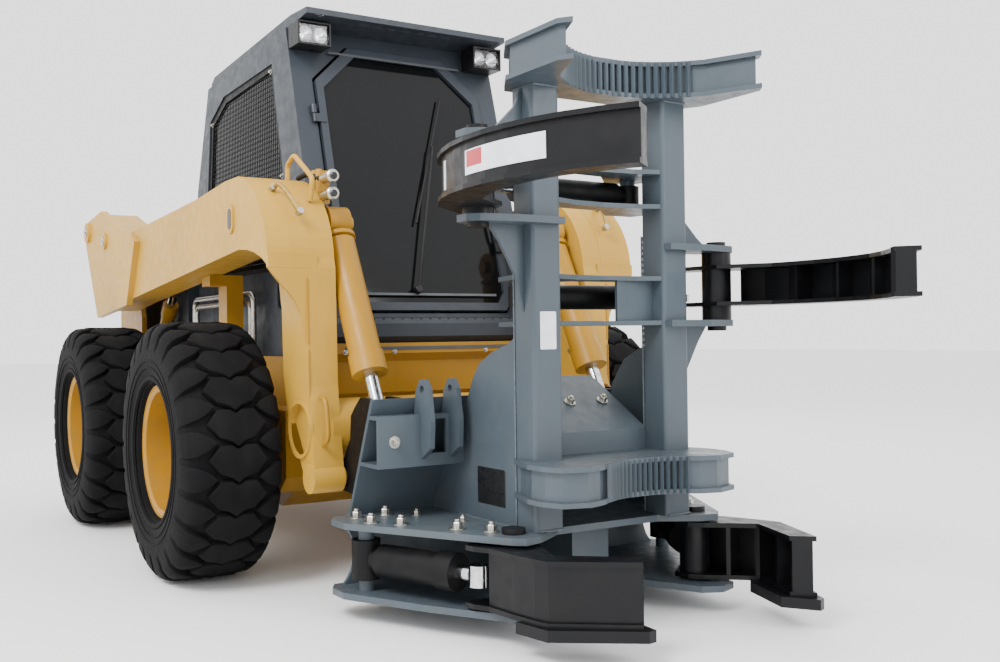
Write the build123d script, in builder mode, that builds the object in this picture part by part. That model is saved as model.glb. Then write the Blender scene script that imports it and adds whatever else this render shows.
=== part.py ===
from build123d import *
import os
from math import atan2, cos, degrees, radians, sin

os.makedirs("parts", exist_ok=True)

# Skid steer loader carrying a tree shear. Millimetres, +X forward, +Y to the machine's left, +Z up.
# The origin is on the ground, on the centre line, midway between the axles.

# ---------------------------------------------------------------- driving dimensions
WHEELBASE = 1400.0
TYRE_DIAMETER = 925.0
TYRE_WIDTH = 350.0
RIM_DIAMETER = 474.0
OVERALL_WIDTH = 2060.0
ROOF_TOP_Z = 2128.0
CAB_HALF_WIDTH = 462.0
CAB_WALL = 40.0
TUB_HALF_WIDTH = 500.0
TUB_WALL = 12.0
CHAINCASE_WIDTH = 100.0
BOOM_INNER_Y = 620.0
BOOM_OUTER_Y = 770.0
LEG_INNER_Y = 530.0
LEG_OUTER_Y = 636.0
LEG_REAR_X = 992.0
DOUBLER = 28.0
PIN_RADIUS = 32.0
RUN_GAP = 0.06
SEAT_GAP = 0.3
CLEAR = 8.0

AXLE_Z = TYRE_DIAMETER / 2
FRONT_AXLE_X = WHEELBASE / 2
REAR_AXLE_X = -WHEELBASE / 2
TYRE_OUTER_Y = OVERALL_WIDTH / 2
TYRE_CENTRE_Y = TYRE_OUTER_Y - TYRE_WIDTH / 2
TYRE_INNER_Y = TYRE_OUTER_Y - TYRE_WIDTH
CHAINCASE_Y = TUB_HALF_WIDTH + CHAINCASE_WIDTH
DISC_Y = TYRE_CENTRE_Y - 20.0

# Pins that carry motion, as (x, z) across the machine or (x, y) on the shear head.
BOOM_PIVOT = (-1306.0, 1432.0)
TILT_TOP_PIN = (1066.0, 1263.0)
TILT_ROD_PIN = (1395.0, 612.0)
HEAD_PIN = (1226.0, 393.0)
LIFT_BASE_PIN = (-1200.0, 430.0)
LIFT_ROD_PIN = (-630.0, 1107.0)
TILT_CYLINDER_Y = 463.0
LIFT_CYLINDER_Y = 544.0

MAST_BACK_X = 1930.0
POST_SIZE = 100.0
POST_WALL = 10.0
POST_CENTRE_Y = 244.0
DECK_TOP_Z = 298.0
DECK_PLATE = 20.0
FLOOR_DECK_TOP_Z = 88.0
LOWER_YOKE_TOP_Z = 500.0
YOKE_HEIGHT = 110.0
UPPER_YOKE_TOP_Z = 1684.0
GRAPPLE_PIVOT = (1994.0, 452.0)
GRAPPLE_HEIGHT = 128.0
LEFT_GRAPPLE_Z = 945.0
RIGHT_GRAPPLE_Z = 1215.0
GRAPPLE_EYE = (1862.0, 412.0)
GRAPPLE_BASE = (1847.0, 212.0)
GRAPPLE_REST = {"right": 6.0, "left": -8.0}
SHEAR_PIVOT = (1990.0, 345.0)
SHEAR_ARM_TOP_Z = 270.0
SHEAR_ARM_BOTTOM_Z = 95.0
SHEAR_EYE = (1948.0, 436.0)
SHEAR_BASE = (1560.0, 598.0)
SHEAR_REST = {"right": 0.0, "left": 29.0}
BLADE_THICKNESS = 30.0

MAST_FRONT_X = MAST_BACK_X + POST_SIZE
POST_INNER_Y = POST_CENTRE_Y - POST_SIZE / 2
POST_OUTER_Y = POST_CENTRE_Y + POST_SIZE / 2


# ---------------------------------------------------------------- shapes used many times
def side_plate(points, y_low, y_high, mode=Mode.ADD):
    """A flat piece with its outline in X and Z, between two places across the machine."""
    with BuildSketch(Plane.XZ.offset(-y_high)) as outline:
        Polygon(*points, align=None)
    extrude(outline.sketch, amount=y_high - y_low, mode=mode)


def flat_plate(points, z_low, z_high, mode=Mode.ADD):
    """A flat piece with its outline in X and Y, between two heights."""
    with BuildSketch(Plane.XY.offset(z_low)) as outline:
        Polygon(*points, align=None)
    extrude(outline.sketch, amount=z_high - z_low, mode=mode)


def cross_plate(points, x_low, x_high, mode=Mode.ADD):
    """A flat piece with its outline in Y and Z, between two places along the machine."""
    with BuildSketch(Plane.YZ.offset(x_low)) as outline:
        Polygon(*points, align=None)
    extrude(outline.sketch, amount=x_high - x_low, mode=mode)


def block(low, high, mode=Mode.ADD):
    """A box from its lowest to its highest corner."""
    size = [b - a for a, b in zip(low, high)]
    with Locations(tuple(low)):
        Box(*size, align=(Align.MIN, Align.MIN, Align.MIN), mode=mode)


def bar(start, end, radius, mode=Mode.ADD):
    """A round bar from one point to another."""
    along = Vector(*end) - Vector(*start)
    with BuildSketch(Plane(origin=start, z_dir=along)) as section:
        Circle(radius)
    extrude(section.sketch, amount=along.length, mode=mode)


def across_bar(place, y_low, y_high, radius, mode=Mode.ADD):
    """A round bar across the machine at (x, z)."""
    bar((place[0], y_low, place[1]), (place[0], y_high, place[1]), radius, mode)


def upright_bar(place, z_low, z_high, radius, mode=Mode.ADD):
    """A round upright bar at (x, y)."""
    bar((place[0], place[1], z_low), (place[0], place[1], z_high), radius, mode)


def pipe(points, radii, radius, mode=Mode.ADD):
    """A bent pipe along straight runs joined by arcs."""
    with BuildLine():
        route = FilletPolyline(*points, radius=radii)
    with BuildSketch(Plane(origin=route @ 0, z_dir=route % 0)) as section:
        Circle(radius)
    sweep(section.sketch, path=route, mode=mode)


def flipped(points):
    """The same outline on the other side of the centre line."""
    return [(x, -y) for x, y in points]


def save(builder, label):
    builder.part.label = label
    export_step(builder.part, f"parts/{label}.step")


def turned(point, centre, angle):
    """A plan point turned about a centre, in degrees, anticlockwise from above."""
    dx = point[0] - centre[0]
    dy = point[1] - centre[1]
    c = cos(radians(angle))
    s = sin(radians(angle))
    return (centre[0] + dx * c - dy * s, centre[1] + dx * s + dy * c)


# ---------------------------------------------------------------- wheels
BEAD_RADIUS = RIM_DIAMETER / 2 - 14
FLANGE_RADIUS = RIM_DIAMETER / 2
RIM_OUTER_Y = TYRE_OUTER_Y - 40
RIM_INNER_Y = TYRE_INNER_Y + 40
RIM_THICK = 12.0
HUB_RADIUS = 95.0
HUB_INNER_Y = CHAINCASE_Y + 78.0
SHOULDER = 45.0
BEAD_INSET = 40.0 + 14.0 + SEAT_GAP


def tyre_profile(side):
    """Half section of the tyre envelope, as (y, r)."""
    half = TYRE_WIDTH / 2
    top = TYRE_DIAMETER / 2
    return [
        (side * (TYRE_CENTRE_Y - half + BEAD_INSET), BEAD_RADIUS + 2),
        (side * (TYRE_CENTRE_Y - half + BEAD_INSET), FLANGE_RADIUS + 2),
        (side * (TYRE_CENTRE_Y - half + 26), FLANGE_RADIUS + 6),
        (side * (TYRE_CENTRE_Y - half + 6), BEAD_RADIUS + 60),
        (side * (TYRE_CENTRE_Y - half), top - 110),
        (side * (TYRE_CENTRE_Y - half + 10), top - SHOULDER),
        (side * (TYRE_CENTRE_Y - half + 40), top - 8),
        (side * (TYRE_CENTRE_Y - half + 90), top),
        (side * (TYRE_CENTRE_Y + half - 90), top),
        (side * (TYRE_CENTRE_Y + half - 40), top - 8),
        (side * (TYRE_CENTRE_Y + half - 10), top - SHOULDER),
        (side * (TYRE_CENTRE_Y + half), top - 110),
        (side * (TYRE_CENTRE_Y + half - 6), BEAD_RADIUS + 60),
        (side * (TYRE_CENTRE_Y + half - 26), FLANGE_RADIUS + 6),
        (side * (TYRE_CENTRE_Y + half - BEAD_INSET), FLANGE_RADIUS + 2),
        (side * (TYRE_CENTRE_Y + half - BEAD_INSET), BEAD_RADIUS + 2),
    ]


def rim_profile(side):
    """Half section of the dished rim with its hub, as (y, r)."""
    outer = RIM_OUTER_Y
    inner = RIM_INNER_Y
    barrel = BEAD_RADIUS + 1.5
    return [
        (side * HUB_INNER_Y, 0),
        (side * HUB_INNER_Y, HUB_RADIUS),
        (side * DISC_Y, HUB_RADIUS + 10),
        (side * DISC_Y, barrel - RIM_THICK),
        (side * (inner + 2), barrel - RIM_THICK),
        (side * (inner + 2), FLANGE_RADIUS - 6),
        (side * (inner + 12), FLANGE_RADIUS - 6),
        (side * (inner + 12), barrel),
        (side * (outer - 14), barrel),
        (side * (outer - 14), FLANGE_RADIUS),
        (side * outer, FLANGE_RADIUS),
        (side * outer, FLANGE_RADIUS - 12),
        (side * (outer - 8), barrel - RIM_THICK),
        (side * (DISC_Y + RIM_THICK + 25), barrel - RIM_THICK),
        (side * (DISC_Y + RIM_THICK), barrel - RIM_THICK - 40),
        (side * (DISC_Y + RIM_THICK), 0),
    ]


WHEELS = {
    "front_left": (FRONT_AXLE_X, 1),
    "front_right": (FRONT_AXLE_X, -1),
    "rear_left": (REAR_AXLE_X, 1),
    "rear_right": (REAR_AXLE_X, -1),
}
for place, (axle_x, side) in WHEELS.items():
    axle = Axis((axle_x, 0, AXLE_Z), (0, 1, 0))
    wheel_plane = Plane(origin=(axle_x, 0, AXLE_Z), x_dir=(0, 1, 0), z_dir=(1, 0, 0))
    with BuildPart() as tyre:
        with BuildSketch(wheel_plane):
            Polygon(*tyre_profile(side), align=None)
        revolve(axis=axle)
    save(tyre, f"tyre_{place}")
    with BuildPart() as rim:
        with BuildSketch(wheel_plane):
            Polygon(*rim_profile(side), align=None)
        revolve(axis=axle)
    save(rim, f"rim_{place}")

# ---------------------------------------------------------------- chassis
TUB_TOP_Z = 790.0
TUB_FLOOR_Z = 215.0
TUB_REAR_X = -1470.0
TUB_FRONT_X = 948.0
tub_outline = [
    (TUB_REAR_X, TUB_TOP_Z),
    (TUB_REAR_X, 430),
    (TUB_REAR_X + 200, TUB_FLOOR_Z + 40),
    (-900, TUB_FLOOR_Z),
    (640, TUB_FLOOR_Z),
    (TUB_FRONT_X - 40, 380),
    (TUB_FRONT_X, 640),
    (TUB_FRONT_X, TUB_TOP_Z),
]
tub_inside = [
    (TUB_REAR_X + TUB_WALL, TUB_TOP_Z + 1),
    (TUB_REAR_X + TUB_WALL, 430 + 6),
    (TUB_REAR_X + 200 + 6, TUB_FLOOR_Z + 40 + TUB_WALL),
    (-900, TUB_FLOOR_Z + TUB_WALL),
    (640 - 6, TUB_FLOOR_Z + TUB_WALL),
    (TUB_FRONT_X - 40 - TUB_WALL, 380 + 6),
    (TUB_FRONT_X - TUB_WALL, 640),
    (TUB_FRONT_X - TUB_WALL, TUB_TOP_Z + 1),
]
# The chaincases run from just ahead of the rear towers to just behind the arms' legs.
tower_front_x = BOOM_PIVOT[0] + 330
chaincase_rear_x = tower_front_x + 26
chaincase_front_x = LEG_REAR_X - 67
chaincase_outline = [
    (chaincase_rear_x, 330),
    (chaincase_rear_x + 70, 300),
    (chaincase_front_x - 65, 300),
    (chaincase_front_x, 360),
    (chaincase_front_x, 600),
    (chaincase_rear_x, 600),
]
with BuildPart() as tub:
    side_plate(tub_outline, -TUB_HALF_WIDTH, TUB_HALF_WIDTH)
    inner_y = TUB_HALF_WIDTH - TUB_WALL
    side_plate(tub_inside, -inner_y, inner_y, Mode.SUBTRACT)
    side_plate(chaincase_outline, TUB_HALF_WIDTH, CHAINCASE_Y)
    side_plate(chaincase_outline, -CHAINCASE_Y, -TUB_HALF_WIDTH)
save(tub, "chassis_tub")

AXLE_HOUSING_RADIUS = 88.0
with BuildPart() as axle_housings:
    for axle_x in (FRONT_AXLE_X, REAR_AXLE_X):
        for side in (1, -1):
            start = side * CHAINCASE_Y
            end = side * (HUB_INNER_Y - SEAT_GAP)
            bar((axle_x, start, AXLE_Z), (axle_x, end, AXLE_Z), AXLE_HOUSING_RADIUS)
save(axle_housings, "axle_housings")

# Tall plates at the rear that carry the boom, one pair each side of the arm's tail.
TOWER_INNER_Y = 500.0
TOWER_PLATE = 24.0
TOWER_BOSS = 78.0
tower_outline = [
    (BOOM_PIVOT[0] - 100, BOOM_PIVOT[1] + 20),
    (BOOM_PIVOT[0] - 55, BOOM_PIVOT[1] + 85),
    (BOOM_PIVOT[0] + 40, BOOM_PIVOT[1] + 90),
    (BOOM_PIVOT[0] + 120, BOOM_PIVOT[1] + 10),
    (tower_front_x, 980),
    (tower_front_x, 640),
    (LIFT_BASE_PIN[0] + 70, LIFT_BASE_PIN[1] - 50),
    (BOOM_PIVOT[0] - 105, LIFT_BASE_PIN[1] - 50),
]
tower_outer_y = BOOM_INNER_Y - CLEAR
with BuildPart() as towers:
    for side in (1, -1):
        low, high = sorted((side * (tower_outer_y - TOWER_PLATE), side * tower_outer_y))
        side_plate(tower_outline, low, high)
        low, high = sorted((side * TUB_HALF_WIDTH, side * (tower_outer_y - TOWER_PLATE)))
        side_plate(
            [
                (BOOM_PIVOT[0] - 105, LIFT_BASE_PIN[1] - 50),
                (BOOM_PIVOT[0] - 105, 1330),
                (BOOM_PIVOT[0] - 85, 1330),
                (BOOM_PIVOT[0] - 85, LIFT_BASE_PIN[1] - 34),
                (LIFT_BASE_PIN[0] - 80, LIFT_BASE_PIN[1] - 34),
                (LIFT_BASE_PIN[0] - 80, LIFT_BASE_PIN[1] - 50),
            ],
            low,
            high,
        )
        across_bar(BOOM_PIVOT, side * (TUB_HALF_WIDTH + 60), side * tower_outer_y, TOWER_BOSS - 22)
        across_bar(LIFT_BASE_PIN, side * TUB_HALF_WIDTH, side * tower_outer_y, PIN_RADIUS)
    for side in (1, -1):
        bore_start = side * (TUB_HALF_WIDTH + 20)
        across_bar(BOOM_PIVOT, bore_start, side * BOOM_INNER_Y, PIN_RADIUS + RUN_GAP, Mode.SUBTRACT)
save(towers, "rear_towers")

HOOD_TOP_Z = 1330.0
REAR_X = -1560.0
DOOR_THICK = 60.0
rear_door_front_x = REAR_X + DOOR_THICK
ENGINE_REAR_X = -1250.0
ENGINE_FRONT_X = -640.0
ENGINE_TOP_Z = 1060.0
ENGINE_HALF = 330.0
engine_foot_z = TUB_FLOOR_Z + TUB_WALL + SEAT_GAP
with BuildPart() as engine:
    side_plate(
        [
            (ENGINE_REAR_X, engine_foot_z + 40),
            (-900, engine_foot_z),
            (ENGINE_FRONT_X, engine_foot_z),
            (ENGINE_FRONT_X, ENGINE_TOP_Z),
            (ENGINE_REAR_X, ENGINE_TOP_Z),
        ],
        -ENGINE_HALF,
        ENGINE_HALF,
    )
save(engine, "engine_block")

REAR_HINGE = (-1508.0, -462.0)
REAR_HINGE_Z = (860.0, 1180.0)
REAR_HINGE_PIN = 6.0
KNUCKLE_REAR = 40.0
HOOD_WALL = 8.0
hood_outline = [
    (-1488, TUB_TOP_Z),
    (-1488, HOOD_TOP_Z - 60),
    (-1430, HOOD_TOP_Z),
    (-640, HOOD_TOP_Z + 10),
    (-560, HOOD_TOP_Z - 40),
    (-560, TUB_TOP_Z),
]
hood_inside = [
    (-1489, TUB_TOP_Z - 1),
    (-1489, HOOD_TOP_Z - 60 - 6),
    (-1430 - 3, HOOD_TOP_Z - HOOD_WALL),
    (-640 - 2, HOOD_TOP_Z + 10 - HOOD_WALL),
    (-560 - HOOD_WALL, HOOD_TOP_Z - 40 - 4),
    (-560 - HOOD_WALL, TUB_TOP_Z - 1),
]
with BuildPart() as hood:
    side_plate(hood_outline, -TUB_HALF_WIDTH + 4, TUB_HALF_WIDTH - 4)
    hood_inner_y = TUB_HALF_WIDTH - 4 - HOOD_WALL
    side_plate(hood_inside, -hood_inner_y, hood_inner_y, Mode.SUBTRACT)
    for z in REAR_HINGE_Z:
        block(
            (REAR_HINGE[0] - 12, -hood_inner_y - 4, z),
            (REAR_HINGE[0] + 28, REAR_HINGE[1] + 12, z + KNUCKLE_REAR),
        )
        upright_bar(REAR_HINGE, z - 1, z + KNUCKLE_REAR + 1, REAR_HINGE_PIN + RUN_GAP, Mode.SUBTRACT)
save(hood, "engine_hood")

BUMPER_TOP_Z = 640.0
bumper_outline = [
    (TUB_REAR_X, BUMPER_TOP_Z),
    (TUB_REAR_X, 432),
    (TUB_REAR_X - 60, 440),
    (REAR_X - 60, 480),
    (REAR_X - 60, BUMPER_TOP_Z),
]
HITCH_RADIUS = 20.0
HITCH_X = REAR_X - 105.0
HITCH_LUG = 30.0
with BuildPart() as bumper:
    side_plate(bumper_outline, -560, 560)
    for side in (1, -1):
        lug_low = 560.0
        with BuildSketch(Plane.XY.offset(lug_low)) as lug:
            with Locations((HITCH_X, side * 330)):
                Circle(45)
            with Locations((HITCH_X + 40, side * 330)):
                Rectangle(80, 90)
            with Locations((HITCH_X, side * 330)):
                Circle(HITCH_RADIUS, mode=Mode.SUBTRACT)
        extrude(lug.sketch, amount=HITCH_LUG)
save(bumper, "rear_bumper")

REAR_DOOR_HALF = 440.0
rear_door_z = (BUMPER_TOP_Z + CLEAR, HOOD_TOP_Z - 70)
with BuildPart() as rear_door:
    block(
        (REAR_X, -REAR_DOOR_HALF, rear_door_z[0]),
        (rear_door_front_x, REAR_DOOR_HALF, rear_door_z[1]),
    )
    block(
        (REAR_X - 1, -REAR_DOOR_HALF + 70, rear_door_z[0] + 90),
        (REAR_X + 20, REAR_DOOR_HALF - 70, rear_door_z[1] - 70),
        Mode.SUBTRACT,
    )
    block(
        (REAR_X + 36, -REAR_DOOR_HALF + 12, rear_door_z[0] + 12),
        (rear_door_front_x + 1, REAR_DOOR_HALF - 12, rear_door_z[1] - 12),
        Mode.SUBTRACT,
    )
    for z in REAR_HINGE_Z:
        upright_bar(REAR_HINGE, z - KNUCKLE_REAR, z - 1, 11)
        upright_bar(REAR_HINGE, z - KNUCKLE_REAR, z + KNUCKLE_REAR, REAR_HINGE_PIN)
        block(
            (REAR_HINGE[0] - 6, REAR_HINGE[1], z - KNUCKLE_REAR),
            (REAR_HINGE[0] + 6, -REAR_DOOR_HALF + 4, z - 1),
        )
save(rear_door, "rear_door")

# ---------------------------------------------------------------- cab
# The front plane leans back towards the roof.
FRONT_FOOT_X = 950.0
FRONT_FOOT_Z = 955.0
FRONT_LEAN = 0.28
CAB_FLOOR_Z = TUB_TOP_Z


def front_x(z):
    return FRONT_FOOT_X - FRONT_LEAN * (z - FRONT_FOOT_Z)


SILL_Z = 935.0
ROOF_EDGE_Z = 2070.0
CAB_REAR_X = -500.0
cab_outline = [
    (CAB_REAR_X, CAB_FLOOR_Z),
    (CAB_REAR_X, 1560),
    (-322, 2025),
    (front_x(ROOF_EDGE_Z) - 8, ROOF_EDGE_Z),
    (front_x(SILL_Z) - 8, SILL_Z),
    (front_x(SILL_Z) - 8, CAB_FLOOR_Z),
]
cab_inside = [
    (CAB_REAR_X + CAB_WALL, CAB_FLOOR_Z + 12),
    (CAB_REAR_X + CAB_WALL, 1553),
    (-322 + CAB_WALL - 12, 2025 - CAB_WALL),
    (front_x(2030) - 8 - CAB_WALL, 2030),
    (front_x(SILL_Z) - 8 - CAB_WALL, SILL_Z),
    (front_x(SILL_Z) - 8 - CAB_WALL, CAB_FLOOR_Z + 12),
]
WINDOW_CORNERS = [(-398, 1130), (-352, 1500), (-300, 1864), (-108, 1947), (480, 1962), (590, 1495), (676, 1130)]
DOOR_HALF = 372.0
DOOR_TOP_HALF = 214.0
DOOR_BOTTOM_HALF = 340.0
DOOR_LOW_Z = 957.0
DOOR_CORNER_LOW_Z = 1000.0
DOOR_CORNER_Z = 1862.0
DOOR_TOP_Z = 2012.0
door_shape = [
    (-DOOR_BOTTOM_HALF, DOOR_LOW_Z),
    (DOOR_BOTTOM_HALF, DOOR_LOW_Z),
    (DOOR_HALF, DOOR_CORNER_LOW_Z),
    (DOOR_HALF, DOOR_CORNER_Z),
    (DOOR_TOP_HALF, DOOR_TOP_Z),
    (-DOOR_TOP_HALF, DOOR_TOP_Z),
    (-DOOR_HALF, DOOR_CORNER_Z),
    (-DOOR_HALF, DOOR_CORNER_LOW_Z),
]
lean_angle = degrees(atan2(FRONT_LEAN, 1))
front_normal = Vector(cos(radians(lean_angle)), 0, sin(radians(lean_angle)))
DOOR_PANEL = 34.0


def front_plane(out):
    """The plane of the cab's front, moved outwards; its x is Y and its y runs up the slope."""
    foot = Vector(FRONT_FOOT_X, 0, FRONT_FOOT_Z) + front_normal * out
    return Plane(origin=foot, x_dir=(0, 1, 0), z_dir=front_normal)


def on_slope(points, grow=0.0):
    """Heights become lengths up the slope, and the outline grows or shrinks."""
    mid_z = (DOOR_LOW_Z + DOOR_TOP_Z) / 2
    result = []
    for y, z in points:
        wide = y + (grow if y > 0 else -grow)
        tall = z + (grow if z > mid_z else -grow)
        result.append((wide, (tall - FRONT_FOOT_Z) / cos(radians(lean_angle))))
    return result


def on_front(y, z, out):
    """A point over the front plane, from its place across, its height on the slope and its stand-off."""
    foot = Vector(front_x(z), y, z) + front_normal * out
    return (foot.X, foot.Y, foot.Z)


DOOR_HINGE_Y = -392.0
DOOR_HINGE_OUT = 3.0
DOOR_HINGE_Z = (1130.0, 1720.0)
DOOR_HINGE_PIN = 5.0
KNUCKLE = 34.0
with BuildPart() as cab:
    side_plate(cab_outline, -CAB_HALF_WIDTH, CAB_HALF_WIDTH)
    cab_inner_y = CAB_HALF_WIDTH - CAB_WALL
    side_plate(cab_inside, -cab_inner_y, cab_inner_y, Mode.SUBTRACT)
    side_plate(WINDOW_CORNERS, -CAB_HALF_WIDTH - 1, CAB_HALF_WIDTH + 1, Mode.SUBTRACT)
    with BuildSketch(front_plane(-160)) as doorway:
        Polygon(*on_slope(door_shape, CLEAR - 2), align=None)
    extrude(doorway.sketch, amount=260, mode=Mode.SUBTRACT)
    cross_plate([(-330, 1240), (330, 1240), (330, 1520), (-330, 1520)], CAB_REAR_X - 1, CAB_REAR_X + CAB_WALL + 1,
                Mode.SUBTRACT)
    for z in DOOR_HINGE_Z:
        lower = on_front(DOOR_HINGE_Y, z, DOOR_HINGE_OUT)
        upper = on_front(DOOR_HINGE_Y, z + KNUCKLE, DOOR_HINGE_OUT)
        bar(lower, upper, 12)
        bar(lower, upper, DOOR_HINGE_PIN + RUN_GAP, Mode.SUBTRACT)
save(cab, "cab_frame")

ROOF_HALF = CAB_HALF_WIDTH - 6
VISOR_TIP_X = 802.0
roof_outline = [
    (-322, 2025 + SEAT_GAP),
    (-322, 2050),
    (-280, 2074),
    (front_x(ROOF_EDGE_Z), ROOF_TOP_Z - 12),
    (VISOR_TIP_X, ROOF_TOP_Z - 22),
    (VISOR_TIP_X, ROOF_TOP_Z - 44),
    (front_x(ROOF_EDGE_Z) - 8, ROOF_EDGE_Z + SEAT_GAP),
]
SLOTS = 7
SLOT_PITCH = 62.0
with BuildPart() as roof:
    side_plate(roof_outline, -ROOF_HALF + 10, ROOF_HALF - 10)
    with BuildSketch(Plane.XY.offset(ROOF_EDGE_Z)) as slots:
        with GridLocations(0, SLOT_PITCH, 1, SLOTS):
            with Locations((VISOR_TIP_X - 40, 0)):
                Rectangle(20, 44)
    extrude(slots.sketch, amount=80, mode=Mode.SUBTRACT)
save(roof, "cab_roof")

LAMP_Y = 392.0
LAMP_Z = 2030.0
LAMP_FOOT_Z = LAMP_Z - 50.0
LAMP_BACK_X = front_x(LAMP_FOOT_Z) - 8 + SEAT_GAP
LAMP_FRONT_X = 752.0
with BuildPart() as lamps:
    for side in (1, -1):
        block(
            (LAMP_BACK_X, side * LAMP_Y - 68, LAMP_FOOT_Z),
            (LAMP_FRONT_X, side * LAMP_Y + 68, ROOF_EDGE_Z),
        )
save(lamps, "headlights")

SCREEN = 12.0
screen_y = CAB_HALF_WIDTH - 6
with BuildPart() as screens:
    for side in (1, -1):
        low, high = sorted((side * (screen_y - SCREEN), side * screen_y))
        with BuildSketch(Plane.XZ.offset(-high)) as outline:
            Polygon(*WINDOW_CORNERS, align=None)
            offset(amount=-SEAT_GAP, kind=Kind.INTERSECTION, mode=Mode.REPLACE)
        extrude(outline.sketch, amount=high - low)
save(screens, "side_screens")

with BuildPart() as rear_glass:
    block(
        (CAB_REAR_X + 12, -330 + SEAT_GAP, 1240 + SEAT_GAP),
        (CAB_REAR_X + 20, 330 - SEAT_GAP, 1520 - SEAT_GAP),
    )
save(rear_glass, "rear_window")

with BuildPart() as door:
    with BuildSketch(front_plane(-DOOR_PANEL + 6)) as frame_face:
        Polygon(*on_slope(door_shape, -2), align=None)
        Polygon(*on_slope(door_shape, -32), align=None, mode=Mode.SUBTRACT)
    extrude(frame_face.sketch, amount=DOOR_PANEL)
    for z in DOOR_HINGE_Z:
        with BuildSketch(front_plane(5)) as strap:
            Polygon(
                *[
                    (y, (height - FRONT_FOOT_Z) / cos(radians(lean_angle)))
                    for y, height in (
                        (DOOR_HINGE_Y, z - KNUCKLE),
                        (-DOOR_HALF + 24, z - KNUCKLE),
                        (-DOOR_HALF + 24, z - 1),
                        (DOOR_HINGE_Y, z - 1),
                    )
                ],
                align=None,
            )
        extrude(strap.sketch, amount=5)
        bar(on_front(DOOR_HINGE_Y, z - KNUCKLE, DOOR_HINGE_OUT), on_front(DOOR_HINGE_Y, z - 1, DOOR_HINGE_OUT), 8.5)
        bar(
            on_front(DOOR_HINGE_Y, z - KNUCKLE, DOOR_HINGE_OUT),
            on_front(DOOR_HINGE_Y, z + KNUCKLE, DOOR_HINGE_OUT),
            DOOR_HINGE_PIN,
        )
save(door, "cab_door")

with BuildPart() as door_glass:
    with BuildSketch(front_plane(-DOOR_PANEL + 16)) as glass_face:
        Polygon(*on_slope(door_shape, -32 - SEAT_GAP), align=None)
    extrude(glass_face.sketch, amount=10)
save(door_glass, "door_glass")

# Panel and cross bar below the door, with the step ledge.
PANEL_X = front_x(SILL_Z) - 8
with BuildPart() as front_panel:
    side_plate(
        [
            (PANEL_X + SEAT_GAP, 792),
            (PANEL_X + SEAT_GAP, 838),
            (PANEL_X + 60, 838),
            (PANEL_X + 60, 800),
            (PANEL_X + 34, 770),
            (TUB_FRONT_X + 30, 655),
            (TUB_FRONT_X + SEAT_GAP, 640),
            (TUB_FRONT_X + SEAT_GAP, 780),
            (TUB_FRONT_X + SEAT_GAP, 792),
        ],
        -CAB_HALF_WIDTH + 30,
        CAB_HALF_WIDTH - 30,
    )
save(front_panel, "front_panel")

with BuildPart() as step_bar:
    side_plate(
        [
            (PANEL_X + SEAT_GAP, 842),
            (PANEL_X + SEAT_GAP, 930),
            (PANEL_X + 30, 930),
            (PANEL_X + 50, 910),
            (PANEL_X + 50, 862),
            (PANEL_X + 30, 842),
        ],
        -CAB_HALF_WIDTH + 6,
        CAB_HALF_WIDTH - 6,
    )
save(step_bar, "step_bar")

SEAT_Z = CAB_FLOOR_Z + 12
with BuildPart() as seat:
    side_plate(
        [(-300, SEAT_Z + SEAT_GAP), (-300, 1110), (170, 1130), (190, 1060), (150, SEAT_Z + SEAT_GAP)], -240, 240
    )
    side_plate([(-300, 1100), (-390, 1700), (-330, 1740), (-270, 1710), (-180, 1105)], -220, 220)
save(seat, "seat")

with BuildPart() as controls:
    for side in (1, -1):
        low, high = sorted((side * 262, side * 400))
        side_plate([(-220, SEAT_Z + SEAT_GAP), (-220, 1210), (260, 1240), (330, 1180), (330, SEAT_Z + SEAT_GAP)], low, high)
        upright_bar((240, side * 330), 1200, 1340, 12)
        upright_bar((240, side * 330), 1338, 1440, 26)
save(controls, "controls")

# ---------------------------------------------------------------- boom
ELBOW_CENTRE = (880.0, 1105.0)
ELBOW_RADIUS = 326.0
ELBOW_STEPS = 12
ELBOW_ANGLES = (80.0, 4.0)
ELBOW_FOOT_Z = 1095.0


def elbow(trim):
    """The outer curve of an arm's elbow, from the top of the beam round to the front of the leg."""
    result = []
    for step in range(ELBOW_STEPS + 1):
        angle = radians(ELBOW_ANGLES[0] + (ELBOW_ANGLES[1] - ELBOW_ANGLES[0]) * step / ELBOW_STEPS)
        x = ELBOW_CENTRE[0] + (ELBOW_RADIUS - trim) * cos(angle)
        z = ELBOW_CENTRE[1] + (ELBOW_RADIUS - trim) * sin(angle)
        result.append((x, z))
    return result


beam_top = [
    (BOOM_PIVOT[0] - 95, BOOM_PIVOT[1] - 30),
    (BOOM_PIVOT[0] - 80, BOOM_PIVOT[1] + 62),
    (BOOM_PIVOT[0] - 20, BOOM_PIVOT[1] + 84),
    (-1010, 1500),
    (-586, 1364),
    (480, 1403),
    (800, 1427),
]
beam_bottom = [
    (1214, ELBOW_FOOT_Z),
    (1150, 1129),
    (1084, 1151),
    (1010, 1165),
    (929, 1171),
    (-628, 1048),
    (-1020, 1010),
    (BOOM_PIVOT[0] + 60, BOOM_PIVOT[1] - 130),
]
beam_outline = beam_top + elbow(0) + beam_bottom
leg_foot = [
    (1213, ELBOW_FOOT_Z),
    (1222, 700),
    (1240, 560),
    (1262, 420),
    (1262, 372),
    (1240, 348),
    (1205, 345),
    (1120, 480),
    (1035, 600),
    (1000, 740),
    (LEG_REAR_X, 960),
    (960, 1090),
    (880, 1168),
]
leg_outline = [(800, 1426)] + elbow(1) + leg_foot
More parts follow.
